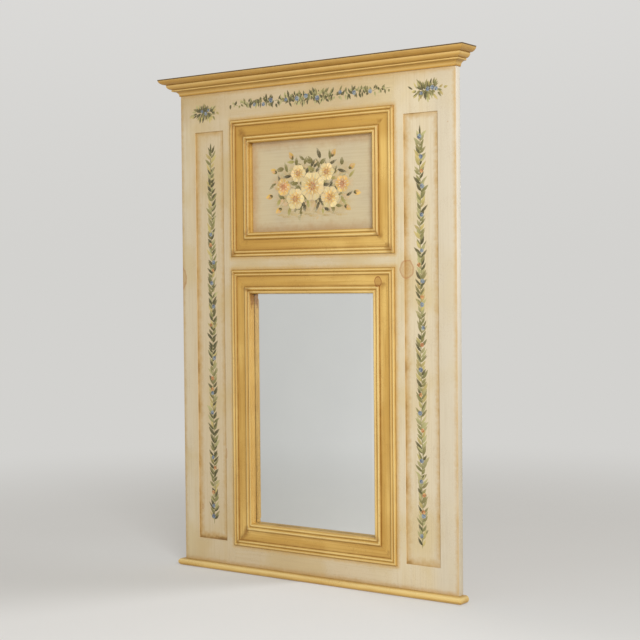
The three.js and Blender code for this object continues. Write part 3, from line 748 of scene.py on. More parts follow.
# %% Mirror glass
def mirror_finish():
    material, tree, surface, place = start_finish("silvered_glass", roughness=0.02, metallic=1.0)
    surface.inputs["Coat Weight"].default_value = 0.3
    surface.inputs["Coat Roughness"].default_value = 0.01
    smear = noise(tree, place, 11.0, 4.0)
    sight = {key: MIRROR[key] - (0 if key == "middle" else MEMBER_WIDTH) for key in MIRROR}
    inward = negative(tree, distance_to(tree, place, sight)["Distance"])
    tarnish = glaze_along(tree, place, inward, 6 * MM, 0.25)
    silver = blend(tree, smear, colour("e7e9e8"), colour("eceeec"))
    feed(tree, surface.inputs["Base Color"], blend(tree, tarnish, silver, colour("a9a596")))
    feed(tree, surface.inputs["Roughness"], calc(tree, "MULTIPLY", fade(tree, smear, 0.3, 0.7), 0.03))
    return material


silvered_glass = mirror_finish()

# %% [markdown]
# ## Bare wood, hardboard and metal
# The back is plain work: pine battens, brown hardboard, zinc-plated clips and screws, brass hangers.

# %% Plain finishes
def pine_finish(name, lies_across):
    material, tree, surface, place = start_finish(name, roughness=0.7)
    pine = use_group(tree, pine_grain, vector=turned_place(tree, place, lies_across))
    feed(tree, surface.inputs["Base Color"], pine["Color"])
    add_relief(tree, surface, pine["Height"], 0.4, 0.4 * MM)
    return material


def hardboard_finish():
    material, tree, surface, place = start_finish("hardboard", roughness=0.62)
    specks = noise(tree, place, 900.0, 4.0)
    clouds = noise(tree, place, 24.0, 3.0)
    board = blend(tree, fade(tree, clouds, 0.35, 0.65), colour("8a6841"), colour("775633"))
    feed(tree, surface.inputs["Base Color"], blend(tree, fade(tree, specks, 0.3, 0.6), board, colour("a07c52")))
    add_relief(tree, surface, specks, 0.4, 0.2 * MM)
    return material


def metal_finish(name, clean, dull, roughness):
    material, tree, surface, place = start_finish(name, roughness=roughness, metallic=1.0)
    cloud = noise(tree, place, 180.0, 3.0)
    scratches = noise(tree, scaled(tree, place, (2500.0, 2500.0, 200.0)), 1.0, 3.0)
    feed(tree, surface.inputs["Base Color"], blend(tree, fade(tree, cloud, 0.35, 0.65), clean, dull))
    feed(tree, surface.inputs["Roughness"], calc(tree, "ADD", roughness, calc(tree, "MULTIPLY", scratches, 0.2)))
    add_relief(tree, surface, scratches, 0.2, 0.05 * MM)
    return material


pine_upright = pine_finish("bare_pine_upright", False)
pine_across = pine_finish("bare_pine_across", True)
hardboard = hardboard_finish()
zinc = metal_finish("zinc_plated_steel", colour("c3c3bf"), colour("9f9f9a"), 0.28)
brass = metal_finish("brass", colour("d0aa5e"), colour("a88543"), 0.25)
print("materials:", len(bpy.data.materials))

# %% [markdown]
# ## Modelling helpers
# Each piece starts as a primitive at its real size, and its place is applied at once, so that the object
# sits at the origin and its measures can be read from its mesh. An operator works on whatever is selected,
# so everything is deselected first, and edges and faces are then picked by where they lie.


# %% Starting, picking and finishing
def slab(name, low, high):
    bpy.ops.object.select_all(action="DESELECT")
    centre = [(a + b) / 2 for a, b in zip(low, high)]
    bpy.ops.mesh.primitive_cube_add(size=1, location=centre)
    piece = bpy.context.object
    piece.name = name
    piece.scale = [b - a for a, b in zip(low, high)]
    bpy.ops.object.transform_apply(location=True, rotation=True, scale=True)
    return piece


def edit(piece, kind="FACE"):
    bpy.ops.object.select_all(action="DESELECT")
    piece.select_set(True)
    bpy.context.view_layer.objects.active = piece
    bpy.ops.object.mode_set(mode="EDIT")
    bpy.ops.mesh.select_mode(type=kind)
    bpy.ops.mesh.select_all(action="DESELECT")


def pick(piece, kind, wanted):
    edit(piece, kind)
    shape = bmesh.from_edit_mesh(piece.data)
    for item in (shape.faces if kind == "FACE" else shape.edges):
        item.select_set(wanted(item))
    bmesh.update_edit_mesh(piece.data)


def leave_edit():
    bpy.ops.object.mode_set(mode="OBJECT")


def soften(piece, radius, segments, wanted):
    pick(piece, "EDGE", wanted)
    bpy.ops.mesh.bevel(offset=radius, segments=segments, profile=0.5, affect="EDGES")
    leave_edit()


def saw(piece, point, direction):
    """Saws off what lies past the plane, and closes the cut."""
    edit(piece)
    bpy.ops.mesh.select_all(action="SELECT")
    bpy.ops.mesh.bisect(plane_co=point, plane_no=direction, use_fill=True, clear_outer=True)
    leave_edit()


def near(a, b):
    return abs(a - b) < 0.05 * MM


def hand_over(piece, material, body="mirror_body", replaces=(), smooth_up_to=32):
    """Finishes a piece: soft shading, its paint, the body that carries it and the nodes it stands for."""
    bpy.ops.object.select_all(action="DESELECT")
    piece.select_set(True)
    bpy.context.view_layer.objects.active = piece
    bpy.ops.object.shade_smooth_by_angle(angle=math.radians(smooth_up_to))
    piece.data.materials.clear()
    piece.data.materials.append(material)
    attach(piece, body)
    if replaces:
        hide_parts(*replaces)
    return piece


# %% [markdown]
# ## Pilasters
# A pilaster is one board with a long sunk field. The board is cut along the field's four lines, the
# face between them is pushed in, and the edges that a hand would touch are rounded a little.

# %% Pilasters
ARRIS = 1.2 * MM


def pilaster(side, side_name):
    low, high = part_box("pilaster_" + side_name)
    board = slab("painted_pilaster_" + side_name, low, high)
    left, right = side * FIELD_X - FIELD_WIDTH / 2, side * FIELD_X + FIELD_WIDTH / 2
    for point, direction in (((left, 0, 0), (1, 0, 0)), ((right, 0, 0), (1, 0, 0)),
                             ((0, 0, FIELD_FOOT), (0, 0, 1)), ((0, 0, FIELD_TOP), (0, 0, 1))):
        edit(board)
        bpy.ops.mesh.select_all(action="SELECT")
        bpy.ops.mesh.bisect(plane_co=point, plane_no=direction)
        leave_edit()

    def in_field(face):
        middle = face.calc_center_median()
        return face.normal.y < -0.9 and left < middle.x < right and FIELD_FOOT < middle.z < FIELD_TOP

    pick(board, "FACE", in_field)
    bpy.ops.mesh.extrude_region_move(TRANSFORM_OT_translate={"value": (0, FIELD_DEPTH, 0)})
    leave_edit()

    def on_field_rim(edge):
        a, b = (vertex.co for vertex in edge.verts)
        at_side = any(near(a.x, x) and near(b.x, x) and FIELD_FOOT - ARRIS < (a.z + b.z) / 2 < FIELD_TOP + ARRIS
                      for x in (left, right))
        at_end = any(near(a.z, z) and near(b.z, z) and left - ARRIS < (a.x + b.x) / 2 < right + ARRIS
                     for z in (FIELD_FOOT, FIELD_TOP))
        return near(a.y, FACE) and near(b.y, FACE) and (at_side or at_end)

    soften(board, ARRIS, 3, on_field_rim)
    soften(board, ARRIS, 3, lambda edge: all(near(vertex.co.x, side * BODY_HALF_WIDTH) for vertex in edge.verts)
           and edge.verts[0].co.y == edge.verts[1].co.y)
    return hand_over(board, cream_upright, replaces=["pilaster_" + side_name])


for side, side_name in ((-1, "left"), (1, "right")):
    made = pilaster(side, side_name)
    print(made.name, len(made.data.polygons), "faces")

# %% [markdown]
# ## Screws and their holes
# Countersunk screws hold the battens, the cornice and the sill, and round-headed ones hold the clips and
# the hangers. One of each is modelled: a head, a slot sawn into it, and a tapering shank. A hole is cut
# with the Boolean modifier by a cone that is a little larger than the head.

# %% Screw measures
SCREW_HEAD_RADIUS = 4 * MM
SCREW_HEAD_HEIGHT = 3 * MM
SCREW_SHANK_RADIUS = 2 * MM
SMALL_HEAD_RADIUS = 3.2 * MM
SMALL_HEAD_HEIGHT = 1.8 * MM
SLOT_WIDTH = 0.9 * MM
SLOT_DEPTH = 0.9 * MM
SHANK_LENGTH = 8 * MM


def subtract(piece, cutter):
    modifier = piece.modifiers.new("cut", "BOOLEAN")
    modifier.operation = "DIFFERENCE"
    modifier.solver = "EXACT"
    modifier.object = cutter
    bpy.context.view_layer.objects.active = piece
    bpy.ops.object.modifier_apply(modifier=modifier.name)
    bpy.data.objects.remove(cutter)


def countersink(piece, at, turn):
    """Cuts a screw's hole; turn is the rotation that takes +Z to the way the head faces."""
    bpy.ops.object.select_all(action="DESELECT")
    depth = SCREW_HEAD_HEIGHT + 2 * FIT
    bpy.ops.mesh.primitive_cone_add(vertices=32, radius1=SCREW_SHANK_RADIUS, radius2=SCREW_HEAD_RADIUS + FIT, depth=depth)
    cutter = bpy.context.object
    cutter.matrix_world = Matrix.Translation(at) @ turn @ Matrix.Translation((0, 0, FIT - depth / 2))
    bpy.ops.object.transform_apply(location=True, rotation=True, scale=True)
    subtract(piece, cutter)


# %% Two model screws
def model_screw(name, head_radius, head_height, domed):
    """A screw whose head's top, or underside if it is domed, lies at Z = 0."""
    bpy.ops.object.select_all(action="DESELECT")
    foot_radius = head_radius if domed else SCREW_SHANK_RADIUS
    bpy.ops.mesh.primitive_cone_add(vertices=24, radius1=foot_radius, radius2=head_radius, depth=head_height)
    screw = bpy.context.object
    screw.name = name
    screw.location.z = head_height / 2 if domed else -head_height / 2
    bpy.ops.object.transform_apply(location=True, rotation=False, scale=False)
    top = head_height if domed else 0.0
    if domed:
        soften(screw, head_height * 0.75, 4, lambda edge: all(near(vertex.co.z, top) for vertex in edge.verts))
    pick(screw, "FACE", lambda face: face.normal.z < -0.9)
    if domed:
        bpy.ops.mesh.inset(thickness=head_radius - SCREW_SHANK_RADIUS * 0.8)
    bpy.ops.mesh.extrude_region_move(TRANSFORM_OT_translate={"value": (0, 0, -SHANK_LENGTH)})
    bpy.ops.transform.resize(value=(0.3, 0.3, 1))
    leave_edit()
    reach = head_radius * 2
    slot = slab("slot", (-reach, -SLOT_WIDTH / 2, top - SLOT_DEPTH), (reach, SLOT_WIDTH / 2, top + SLOT_DEPTH))
    subtract(screw, slot)
    return screw


wood_screw = model_screw("wood_screw", SCREW_HEAD_RADIUS, SCREW_HEAD_HEIGHT, False)
small_screw = model_screw("small_screw", SMALL_HEAD_RADIUS, SMALL_HEAD_HEIGHT, True)
print("model screws:", wood_screw.dimensions[:], small_screw.dimensions[:])

# %% [markdown]
# The nodes tell where each screw sits. Most look back, along +Y, and the sill's look down. Each copy gets
# its own mesh and a slot that points its own way, as a hand leaves it.

# %% Driving the screws
TO_BACK = Matrix.Rotation(math.radians(-90), 4, "X")
DOWNWARDS = Matrix.Rotation(math.radians(180), 4, "X")
slot_turns = random.Random(4)


def drive_screw(model, node, at, turn, material, slot_name):
    screw = model.copy()
    screw.data = model.data.copy()
    screw.name = "fitted_" + node
    bpy.context.collection.objects.link(screw)
    spin = Matrix.Rotation(slot_turns.uniform(0, math.pi), 4, "Z")
    screw.data.transform(Matrix.Translation(at) @ turn @ spin)
    hand_over(screw, material, replaces=[node])


def node_middle(node):
    low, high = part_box(node)
    return Vector([(a + b) / 2 for a, b in zip(low, high)])


countersunk = {}
for node in sorted(nodes):
    if "screw" not in node:
        continue
    at = node_middle(node)
    if node.startswith("sill"):
        at.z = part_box(node)[0][2]
        countersunk[node] = (at, DOWNWARDS)
        drive_screw(wood_screw, node, at, DOWNWARDS, zinc, "steel")
    elif "batten" in node or "cornice" in node:
        at.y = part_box(node)[1][1]
        countersunk[node] = (at, TO_BACK)
        drive_screw(wood_screw, node, at, TO_BACK, zinc, "steel")
    else:
        at.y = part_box(node)[1][1] - SMALL_HEAD_HEIGHT
        finish = (brass, "brass") if "hanger" in node else (zinc, "steel")
        drive_screw(small_screw, node, at, TO_BACK, *finish)
for model in (wood_screw, small_screw):
    bpy.data.objects.remove(model)
print("countersunk:", sorted(countersunk))

# %% [markdown]
# ## Rails and battens
# The three rails are plain boards between the pilasters, and the two battens stiffen them from behind.
# The edges of a batten are planed off a little.

# %% Rails and battens
def cut_holes_for(piece, word):
    for node, (at, turn) in countersunk.items():
        if word in node:
            countersink(piece, at, turn)


for rail_name in ("frieze_rail", "middle_rail", "bottom_rail"):
    rail = slab("painted_" + rail_name, *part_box(rail_name))
    if rail_name == "frieze_rail":
        cut_holes_for(rail, "cornice_screw")
    hand_over(rail, cream_across, replaces=[rail_name])

BATTEN_CHAMFER = 1.5 * MM
for batten_name in ("hanging_batten", "lower_batten"):
    batten = slab("planed_" + batten_name, *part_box(batten_name))
    soften(batten, BATTEN_CHAMFER, 2, lambda edge: edge.calc_length() > 0.5)
    cut_holes_for(batten, batten_name)
    hand_over(batten, pine_across, replaces=[batten_name])
    print(batten.name, [round(size / MM) for size in batten.dimensions])

# %% [markdown]
# ## Mouldings
# A moulding is one section drawn out along a line, so the section is drawn first: a circle's vertices are
# laid on the outline and the face between them is extruded. Mitres are then sawn at both ends. A bead is
# half an ellipse; more points than in the joinery model make it round.

# %% Drawing a section
BEAD_STEPS = 12


def arc(centre, radii, start, end, steps=BEAD_STEPS):
    """Points from one angle to another on an ellipse, in degrees."""
    angles = [math.radians(start + (end - start) * i / steps) for i in range(steps + 1)]
    return [(centre[0] + radii[0] * math.cos(a), centre[1] + radii[1] * math.sin(a)) for a in angles]


def bead(start, width, foot, rise):
    return arc((start + width / 2, foot), (width / 2, rise), 180, 0)


def drawn_out(name, corners, way):
    """A face with these corners, extruded by way."""
    bpy.ops.object.select_all(action="DESELECT")
    bpy.ops.mesh.primitive_circle_add(vertices=len(corners), fill_type="NGON")
    piece = bpy.context.object
    piece.name = name
    for vertex, corner in zip(piece.data.vertices, corners):
        vertex.co = corner
    edit(piece)
    bpy.ops.mesh.select_all(action="SELECT")
    bpy.ops.mesh.remove_doubles(threshold=0.001 * MM)
    bpy.ops.mesh.extrude_region_move(TRANSFORM_OT_translate={"value": way})
    bpy.ops.mesh.select_all(action="SELECT")
    bpy.ops.mesh.normals_make_consistent(inside=False)
    leave_edit()
    return piece


# %% [markdown]
# ## The two moulded frames
# Eight lengths of one moulding. A length is modelled as a bottom member round the frame's middle, and then
# turned to its side.

# %% Section of the frames
BOARD_THICKNESS = 21
SEAT_DEPTH = 13.1
FRAME_SECTION = (
    [(0, -BOARD_THICKNESS)]
    + bead(0, 8.4, 2.0, 3.2)
    + bead(8.4, 8.2, 2.0, 2.2)
    + [(16.6, 0.8), (43.8, 0.8)]
    + bead(43.8, 9.8, 2.8, 3.4)
    + bead(53.6, 8.4, 2.8, 2.8)
    + [(62, -SEAT_DEPTH), (54, -SEAT_DEPTH), (54, -BOARD_THICKNESS)]
)


# %% Frame members
def frame_member(frame_name, outline, side_name, turn):
    upright = side_name in ("left", "right")
    half_length = outline["half_height"] if upright else outline["half_width"]
    reach = outline["half_width"] if upright else outline["half_height"]
    corners = [(-half_length, FACE - rise * MM, across * MM - reach) for across, rise in FRAME_SECTION]
    member = drawn_out(f"moulded_{frame_name}_{side_name}", corners, (2 * half_length, 0, 0))
    for end in (-1, 1):
        saw(member, (end * (half_length - MITRE_GAP), 0, -reach), (end, 0, 1))
    member.rotation_euler.y = math.radians(turn)
    member.location.z = outline["middle"]
    bpy.ops.object.transform_apply(location=True, rotation=True, scale=True)
    paint = frame_upright if upright else frame_across
    return hand_over(member, paint, replaces=[f"{frame_name}_frame_{side_name}"])


for frame_name, outline in (("picture", PICTURE), ("mirror", MIRROR)):
    for side_name, turn in (("bottom", 0), ("left", 90), ("top", 180), ("right", -90)):
        made = frame_member(frame_name, outline, side_name, turn)
        print(made.name, len(made.data.polygons), "faces")

# %% [markdown]
# ## Cornice
# From its foot up: a fillet, a cove, a small bead, an ovolo, a quirk and a top roll. The front length and
# the two returns are cut from the same moulding and mitred at the corners.

# %% Section of the cornice
CORNICE_SECTION = (
    [(0, 0), (2.5, 0)]
    + arc((13.5, 1.5), (11, 11), 180, 90)
    + arc((14.7, 15), (3, 2.5), -90, 90)
    + arc((15.9, 29), (12, 11.5), -90, 0)
    + [(26.7, 29), (26.7, 30.2)]
    + arc((27.9, 44), (16.1, 13.8), -90, 0)
    + [(0, 44)]
)
CORNER = BODY_HALF_WIDTH + FIT
CORNICE_PROJECTION = 44 * MM


# %% Cornice lengths
def cornice_front():
    half_length = CORNER + CORNICE_PROJECTION
    corners = [(-half_length, FACE - FIT - out * MM, CORNICE_FOOT + up * MM) for out, up in CORNICE_SECTION]
    length = drawn_out("moulded_cornice_front", corners, (2 * half_length, 0, 0))
    for end in (-1, 1):
        saw(length, (end * (CORNER - MITRE_GAP), FACE - FIT, 0), (end, 1, 0))
    return length


def cornice_return(side, side_name):
    front = FACE - FIT - CORNICE_PROJECTION
    corners = [(side * (CORNER + out * MM), front, CORNICE_FOOT + up * MM) for out, up in CORNICE_SECTION]
    length = drawn_out("moulded_cornice_return_" + side_name, corners, (0, BOARD_BACK - front, 0))
    saw(length, (side * CORNER, FACE - FIT + MITRE_GAP, 0), (-side, -1, 0))
    return length


hand_over(cornice_front(), cornice_paint, replaces=["cornice_front"])
for side, side_name in ((-1, "left"), (1, "right")):
    hand_over(cornice_return(side, side_name), cornice_paint, replaces=["cornice_return_" + side_name])

# %% [markdown]
# ## Sill
# The sill is a board whose front and ends are rounded into a half-round nose. Rounding its long edges and
# its end edges with a bevel of nearly half its thickness makes the nose run round the corners.

# %% Sill
SILL_NOSE = SILL_HEIGHT / 2 - 0.05 * MM
NOSE_STEPS = 12


def level_outer_edge(edge):
    a, b = (vertex.co for vertex in edge.verts)
    at_front = near(a.y, SILL_LOW[1]) and near(b.y, SILL_LOW[1])
    at_end = near(abs(a.x), SILL_HIGH[0]) and near(a.x, b.x)
    return near(a.z, b.z) and (at_front or at_end)


nosed_sill = slab("nosed_sill", SILL_LOW, SILL_HIGH)
soften(nosed_sill, SILL_NOSE, NOSE_STEPS, level_outer_edge)
cut_holes_for(nosed_sill, "sill_screw")
hand_over(nosed_sill, sill_paint, replaces=["sill"])
print(nosed_sill.name, len(nosed_sill.data.polygons), "faces")

# %% [markdown]
# ## Bevelled glass
# The pane's edges are ground down in a wide, shallow slope. The front face is inset by the slope's width and
# lifted by its drop at the same time. The slope is so shallow that soft shading would bend the
# reflection, so the pane keeps hard edges, and a tiny facet between slope and face catches the light.

# %% Glass
GLASS_SLOPE_WIDTH = 25 * MM
GLASS_SLOPE_DROP = 0.9 * MM
GLASS_FACET = 0.4 * MM


def bevelled_glass():
    low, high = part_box("mirror_glass")
    pane = slab("bevelled_glass", (low[0], low[1] + GLASS_SLOPE_DROP, low[2]), high)
    pick(pane, "FACE", lambda face: face.normal.y < -0.9)
    bpy.ops.mesh.inset(thickness=GLASS_SLOPE_WIDTH, depth=GLASS_SLOPE_DROP)
    leave_edit()
    soften(pane, GLASS_FACET, 1, lambda edge: all(near(vertex.co.y, low[1]) for vertex in edge.verts))
    return pane


hand_over(bevelled_glass(), silvered_glass, replaces=["mirror_glass"], smooth_up_to=1)

# %% [markdown]
# ## Clips and hangers
# The clips and the hanger straps have their right shapes already. A copy of each gets its doubled corners
# merged and its sharp edges broken, and the copy stands for the node.


# %% Clips and straps
def softened_copy(node, radius, material):
    piece = nodes[node].copy()
    piece.data = nodes[node].data.copy()
    piece.name = "eased_" + node
    piece.parent = None
    bpy.context.collection.objects.link(piece)
    edit(piece)
    bpy.ops.mesh.select_all(action="SELECT")
    bpy.ops.mesh.remove_doubles(threshold=0.01 * MM)
    bpy.ops.mesh.dissolve_limited(angle_limit=math.radians(1))
    leave_edit()
    easing = piece.modifiers.new("easing", "BEVEL")
    easing.width = radius
    easing.segments = 2
    easing.limit_method = "ANGLE"
    bpy.ops.object.modifier_apply(modifier=easing.name)
    hand_over(piece, material, replaces=[node])


for node in sorted(nodes):
    if "clip" in node and "screw" not in node:
        softened_copy(node, 0.25 * MM, zinc)
    elif "strap" in node:
        softened_copy(node, 0.2 * MM, brass)

# %% [markdown]
# ## Hanger rings
# A ring is one bent wire: a straight bar that turns in the strap's knuckle, two rounded corners, two arms
# and a bow. A circle is extruded along the straight parts and spun round the bends, and closes on itself.

# %% Hanger rings
WIRE_RADIUS = 1.5 * MM
RING_HALF_WIDTH = 14.5 * MM
RING_CORNER = 4 * MM
RING_ARM_FOOT = -15 * MM


def bent_ring(name, pivot):
    bpy.ops.object.select_all(action="DESELECT")
    bpy.ops.mesh.primitive_circle_add(vertices=16, radius=WIRE_RADIUS, rotation=(0, math.radians(90), 0))
    ring = bpy.context.object
    ring.name = name
    bpy.ops.object.transform_apply(location=True, rotation=True, scale=True)
    edit(ring, "EDGE")
    bpy.ops.mesh.select_all(action="SELECT")
    bar_end = RING_HALF_WIDTH - RING_CORNER
    arm = -RING_CORNER - RING_ARM_FOOT

    def straight(way):
        bpy.ops.mesh.extrude_region_move(TRANSFORM_OT_translate={"value": way})

    def bend_round(centre_x, centre_z, angle, steps):
        bpy.ops.mesh.spin(steps=steps, angle=-math.radians(angle), center=(centre_x, 0, centre_z), axis=(0, 1, 0))

    straight((bar_end, 0, 0))
    bend_round(bar_end, -RING_CORNER, 90, 6)
    straight((0, 0, -arm))
    bend_round(0, RING_ARM_FOOT, 180, 24)
    straight((0, 0, arm))
    bend_round(-bar_end, -RING_CORNER, 90, 6)
    straight((bar_end, 0, 0))
    bpy.ops.mesh.select_all(action="SELECT")
    bpy.ops.mesh.remove_doubles(threshold=0.01 * MM)
    bpy.ops.mesh.normals_make_consistent(inside=False)
    leave_edit()
    ring.data.transform(Matrix.Translation(pivot))
    return ring


for joint_side in ("left", "right"):
    low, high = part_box("hanger_ring_" + joint_side)
    pivot = ((low[0] + high[0]) / 2, (low[1] + high[1]) / 2, high[2] - WIRE_RADIUS)
    ring = bent_ring("bent_ring_" + joint_side, pivot)
    hand_over(ring, brass, body="ring_" + joint_side, replaces=["hanger_ring_" + joint_side])
    print(ring.name, [round(size / MM, 1) for size in ring.dimensions])

# %% [markdown]
# ## What stays as it was
# The painted panel, the hardboards and the hidden dowels have their true shape already and only need their
# finish.

# %% Finishes for the kept nodes
def refinish(node, material):
    nodes[node].data.materials.clear()
    nodes[node].data.materials.append(material)


refinish("picture_panel", panel_paint)
for node in sorted(nodes):
    if "backing_board" in node:
        refinish(node, hardboard)
    elif node.startswith("dowel"):
        refinish(node, pine_across)

# %% [markdown]
# ## A brush stroke
# The vines, the garland and the sprigs are made of strokes. A brush is pressed down, drawn along and lifted,
# which leaves a stroke that is full near its start and thin at its tip. One stroke of each sort is
# modelled as a thin closed shell, hardly proud of the paint below, and every leaf and petal is a copy with
# its own length, width, turn, bend and colour. Image textures could show them too, but modelled strokes
# stay sharp from near by.

# %% Model strokes
STROKE_STEPS = 6
STROKE_RISE = 0.12 * MM
STROKE_DEPTH = 1.0 * MM
LAYER_STEP = 0.05 * MM


def model_stroke(name, belly, plumpness):
    """A stroke one long and one wide. A low belly puts its widest place near the start, and a low
    plumpness rounds its ends."""
    bpy.ops.object.select_all(action="DESELECT")
    bpy.ops.mesh.primitive_grid_add(x_subdivisions=STROKE_STEPS, y_subdivisions=2, size=1)
    stroke = bpy.context.object
    stroke.name = name
    for vertex in stroke.data.vertices:
        along, across = vertex.co.x + 0.5, vertex.co.y
        width = max(math.sin(math.pi * along ** belly), 0.0) ** plumpness
        vertex.co = (along, across * width, STROKE_RISE * width * (1 - 4 * across ** 2))
    edit(stroke)
    bpy.ops.mesh.select_all(action="SELECT")
    bpy.ops.mesh.remove_doubles(threshold=0.0001)
    bpy.ops.mesh.extrude_region_move(TRANSFORM_OT_translate={"value": (0, 0, -STROKE_DEPTH)})
    bpy.ops.mesh.select_all(action="SELECT")
    bpy.ops.mesh.normals_make_consistent(inside=False)
    leave_edit()
    return stroke


leaf_stroke = model_stroke("leaf_stroke", 0.8, 0.85)
petal_stroke = model_stroke("petal_stroke", 1.5, 0.6)
print("a stroke has", len(leaf_stroke.data.polygons), "faces")

# %% [markdown]
# A stroke carries its colour in a colour attribute. It gets lighter towards its tip, and the fourth
# channel tells how well the paint covers, which is less where the brush lifts.


# %% Laying a stroke
class Painting:
    """Strokes on one flat surface, laid one after the other and joined at the end."""

    def __init__(self, surface, seed):
        self.surface = surface
        self.strokes = []
        self.chance = random.Random(seed)

    def lay(self, model, at, angle, length, width, tone, bend=0.0, layer=0, cover=1.0):
        stroke = model.copy()
        stroke.data = model.data.copy()
        bpy.context.collection.objects.link(stroke)
        strength = self.chance.uniform(0.8, 1.2)
        shade = [part * strength * self.chance.uniform(0.97, 1.03) for part in colour(tone)[:3]]
        paint = stroke.data.color_attributes.new("paint", "FLOAT_COLOR", "POINT")
        for vertex, dot in zip(stroke.data.vertices, paint.data):
            along, across, up = vertex.co
            lit = 0.95 + 0.4 * along
            dot.color = [part * lit for part in shade] + [cover * (1 - 0.45 * along ** 2)]
            vertex.co = (along * length, across * width + bend * length * along ** 2, up)
        lift = LAYER_STEP * (1 + layer + len(self.strokes) % 4 * 0.5)
        turn = math.radians(angle)
        side, rise = math.cos(turn), math.sin(turn)
        stroke.data.transform(Matrix(((side, -rise, 0, at[0]), (0, 0, -1, self.surface - lift),
                                      (rise, side, 0, at[1]), (0, 0, 0, 1))))
        self.strokes.append(stroke)

    def finish(self, name, material, slot_name):
        bpy.ops.object.select_all(action="DESELECT")
        for stroke in self.strokes:
            stroke.select_set(True)
        bpy.context.view_layer.objects.active = self.strokes[0]
        bpy.ops.object.join()
        piece = bpy.context.object
        piece.name = name
        hand_over(piece, material)
        print(name, len(self.strokes), "strokes,", len(piece.data.polygons), "faces")


# %% [markdown]
# ## Ornament paint
# The colour comes from the strokes. Where the paint covers badly, bristle noise lets the ground through.

# %% Ornament paint
def ornament_finish(name, ground):
    material, tree, surface, place = start_finish(name, roughness=0.5)
    painted = tree.nodes.new("ShaderNodeAttribute")
    painted.attribute_name = "paint"
    bristles = noise(tree, place, 480.0, 3.0)
    covering = calc(tree, "ADD", painted.outputs["Alpha"], calc(tree, "MULTIPLY", bristles, 0.9))
    bare = fade(tree, covering, 0.75, 1.35)
    feed(tree, surface.inputs["Base Color"], blend(tree, bare, painted.outputs["Color"], ground))
    add_relief(tree, surface, bristles, 0.25, 0.2 * MM)
    return material


board_ornament = ornament_finish("ornament_on_boards", DUSTY_CREAM)
panel_ornament = ornament_finish("ornament_on_panel", PANEL_CREAM)

# %% [markdown]
# ## Leaf vines
# A vine climbs each field: a thin stem with leaves in pairs that point up and outwards, and small blue and
# orange flowers between them. The left vine is the darker and denser one.

# %% Vines
VINE_FOOT = -1101 * MM
VINE_TOP = -88.5 * MM
DARK_LEAF, MID_LEAF, PALE_LEAF, OLIVE_LEAF = "554f2f", "7a7346", "9d9565", "ab9a5f"
BLUES = ["687482", "80898e", "566172"]
ORANGES = ["aa6f40", "be8c55", "96602f"]
HEART = "a3a28f"


def dab_flower(painting, at, radius, tones, layer=6):
    start = painting.chance.uniform(0, 72)
    for petal in range(5):
        angle = start + petal * 72 + painting.chance.uniform(-12, 12)
        painting.lay(petal_stroke, at, angle, radius, radius * 0.85, painting.chance.choice(tones), layer=layer)
    painting.lay(petal_stroke, (at[0] - radius * 0.16, at[1]), 0, radius * 0.32, radius * 0.3, HEART, layer=layer + 4)


def sway(height):
    return 1.6 * MM * math.sin(height * 41) + 0.8 * MM * math.sin(height * 97)


def leaf_pair(painting, centre_x, height, tones):
    chance = painting.chance
    for side in (-1, 1):
        lean = chance.uniform(34, 56)
        at = (centre_x + sway(height) - side * 0.6 * MM, height + chance.uniform(-4, 4) * MM)
        painting.lay(leaf_stroke, at, 90 - side * lean, chance.uniform(18, 29) * MM, chance.uniform(5.6, 8.4) * MM,
                     chance.choice(tones), bend=side * chance.uniform(0.0, 0.28))


def vine(name, centre_x, tones, step, blue_heights, orange_heights, seed):
    painting = Painting(FIELD_FLOOR, seed)
    chance = painting.chance
    height = VINE_FOOT
    while height < VINE_TOP - 24 * MM:
        lean = chance.uniform(-5, 5)
        painting.lay(leaf_stroke, (centre_x + sway(height), height), 90 + lean, 30 * MM, 1.8 * MM, MID_LEAF)
        height += 17 * MM
    height = VINE_FOOT + 10 * MM
    while height < VINE_TOP - 24 * MM:
        leaf_pair(painting, centre_x, height, tones)
        height += chance.uniform(0.8, 1.2) * step
    painting.lay(leaf_stroke, (centre_x, VINE_TOP - 21 * MM), 92, 21 * MM, 5 * MM, DARK_LEAF)
    for heights, colours, radius in ((blue_heights, BLUES, 6.2), (orange_heights, ORANGES, 5.4)):
        for height in heights:
            at = (centre_x + chance.choice((-1, 1)) * chance.uniform(1, 6) * MM, height * MM)
            dab_flower(painting, at, chance.uniform(0.88, 1.12) * radius * MM, colours)
    painting.finish(name, board_ornament, "cream_paint")


vine("vine_left", -325.7 * MM, [DARK_LEAF, DARK_LEAF, MID_LEAF, MID_LEAF, PALE_LEAF, OLIVE_LEAF], 9.5 * MM,
     [-330, -404, -459, -521, -658, -751, -803, -923, -1052, -1080], [-358, -425, -570, -712, -741, -950, -1016], 11)
vine("vine_right", 324.4 * MM, [DARK_LEAF, MID_LEAF, MID_LEAF, PALE_LEAF, PALE_LEAF, OLIVE_LEAF], 10 * MM,
     [-115, -163, -233, -301, -386, -459, -515, -571, -671, -775, -889, -939, -1021, -1070],
     [-197, -420, -497, -611, -731, -816, -971, -1012], 12)

# %% [markdown]
# ## Garland and corner sprigs
# A loose garland runs along the frieze, densest in the middle and thinning out to both ends, and a small
# sprig fills each upper corner.

# %% Garland
GARLAND_FLOWERS = [(-173.5, 0.6), (-143.9, -0.8), (-119.7, 7.4), (-71.4, 4.9), (-36.4, 4.5), (-8, 9), (26.7, 1.2),
                   (97.1, 9), (139, 4.4), (186.3, 3.6)]
GARLAND_HALF_LENGTH = 250 * MM
GARLAND_MIDDLE = -6 * MM
GARLAND_HEIGHT = 5 * MM
GARLAND_LEAVES = 270


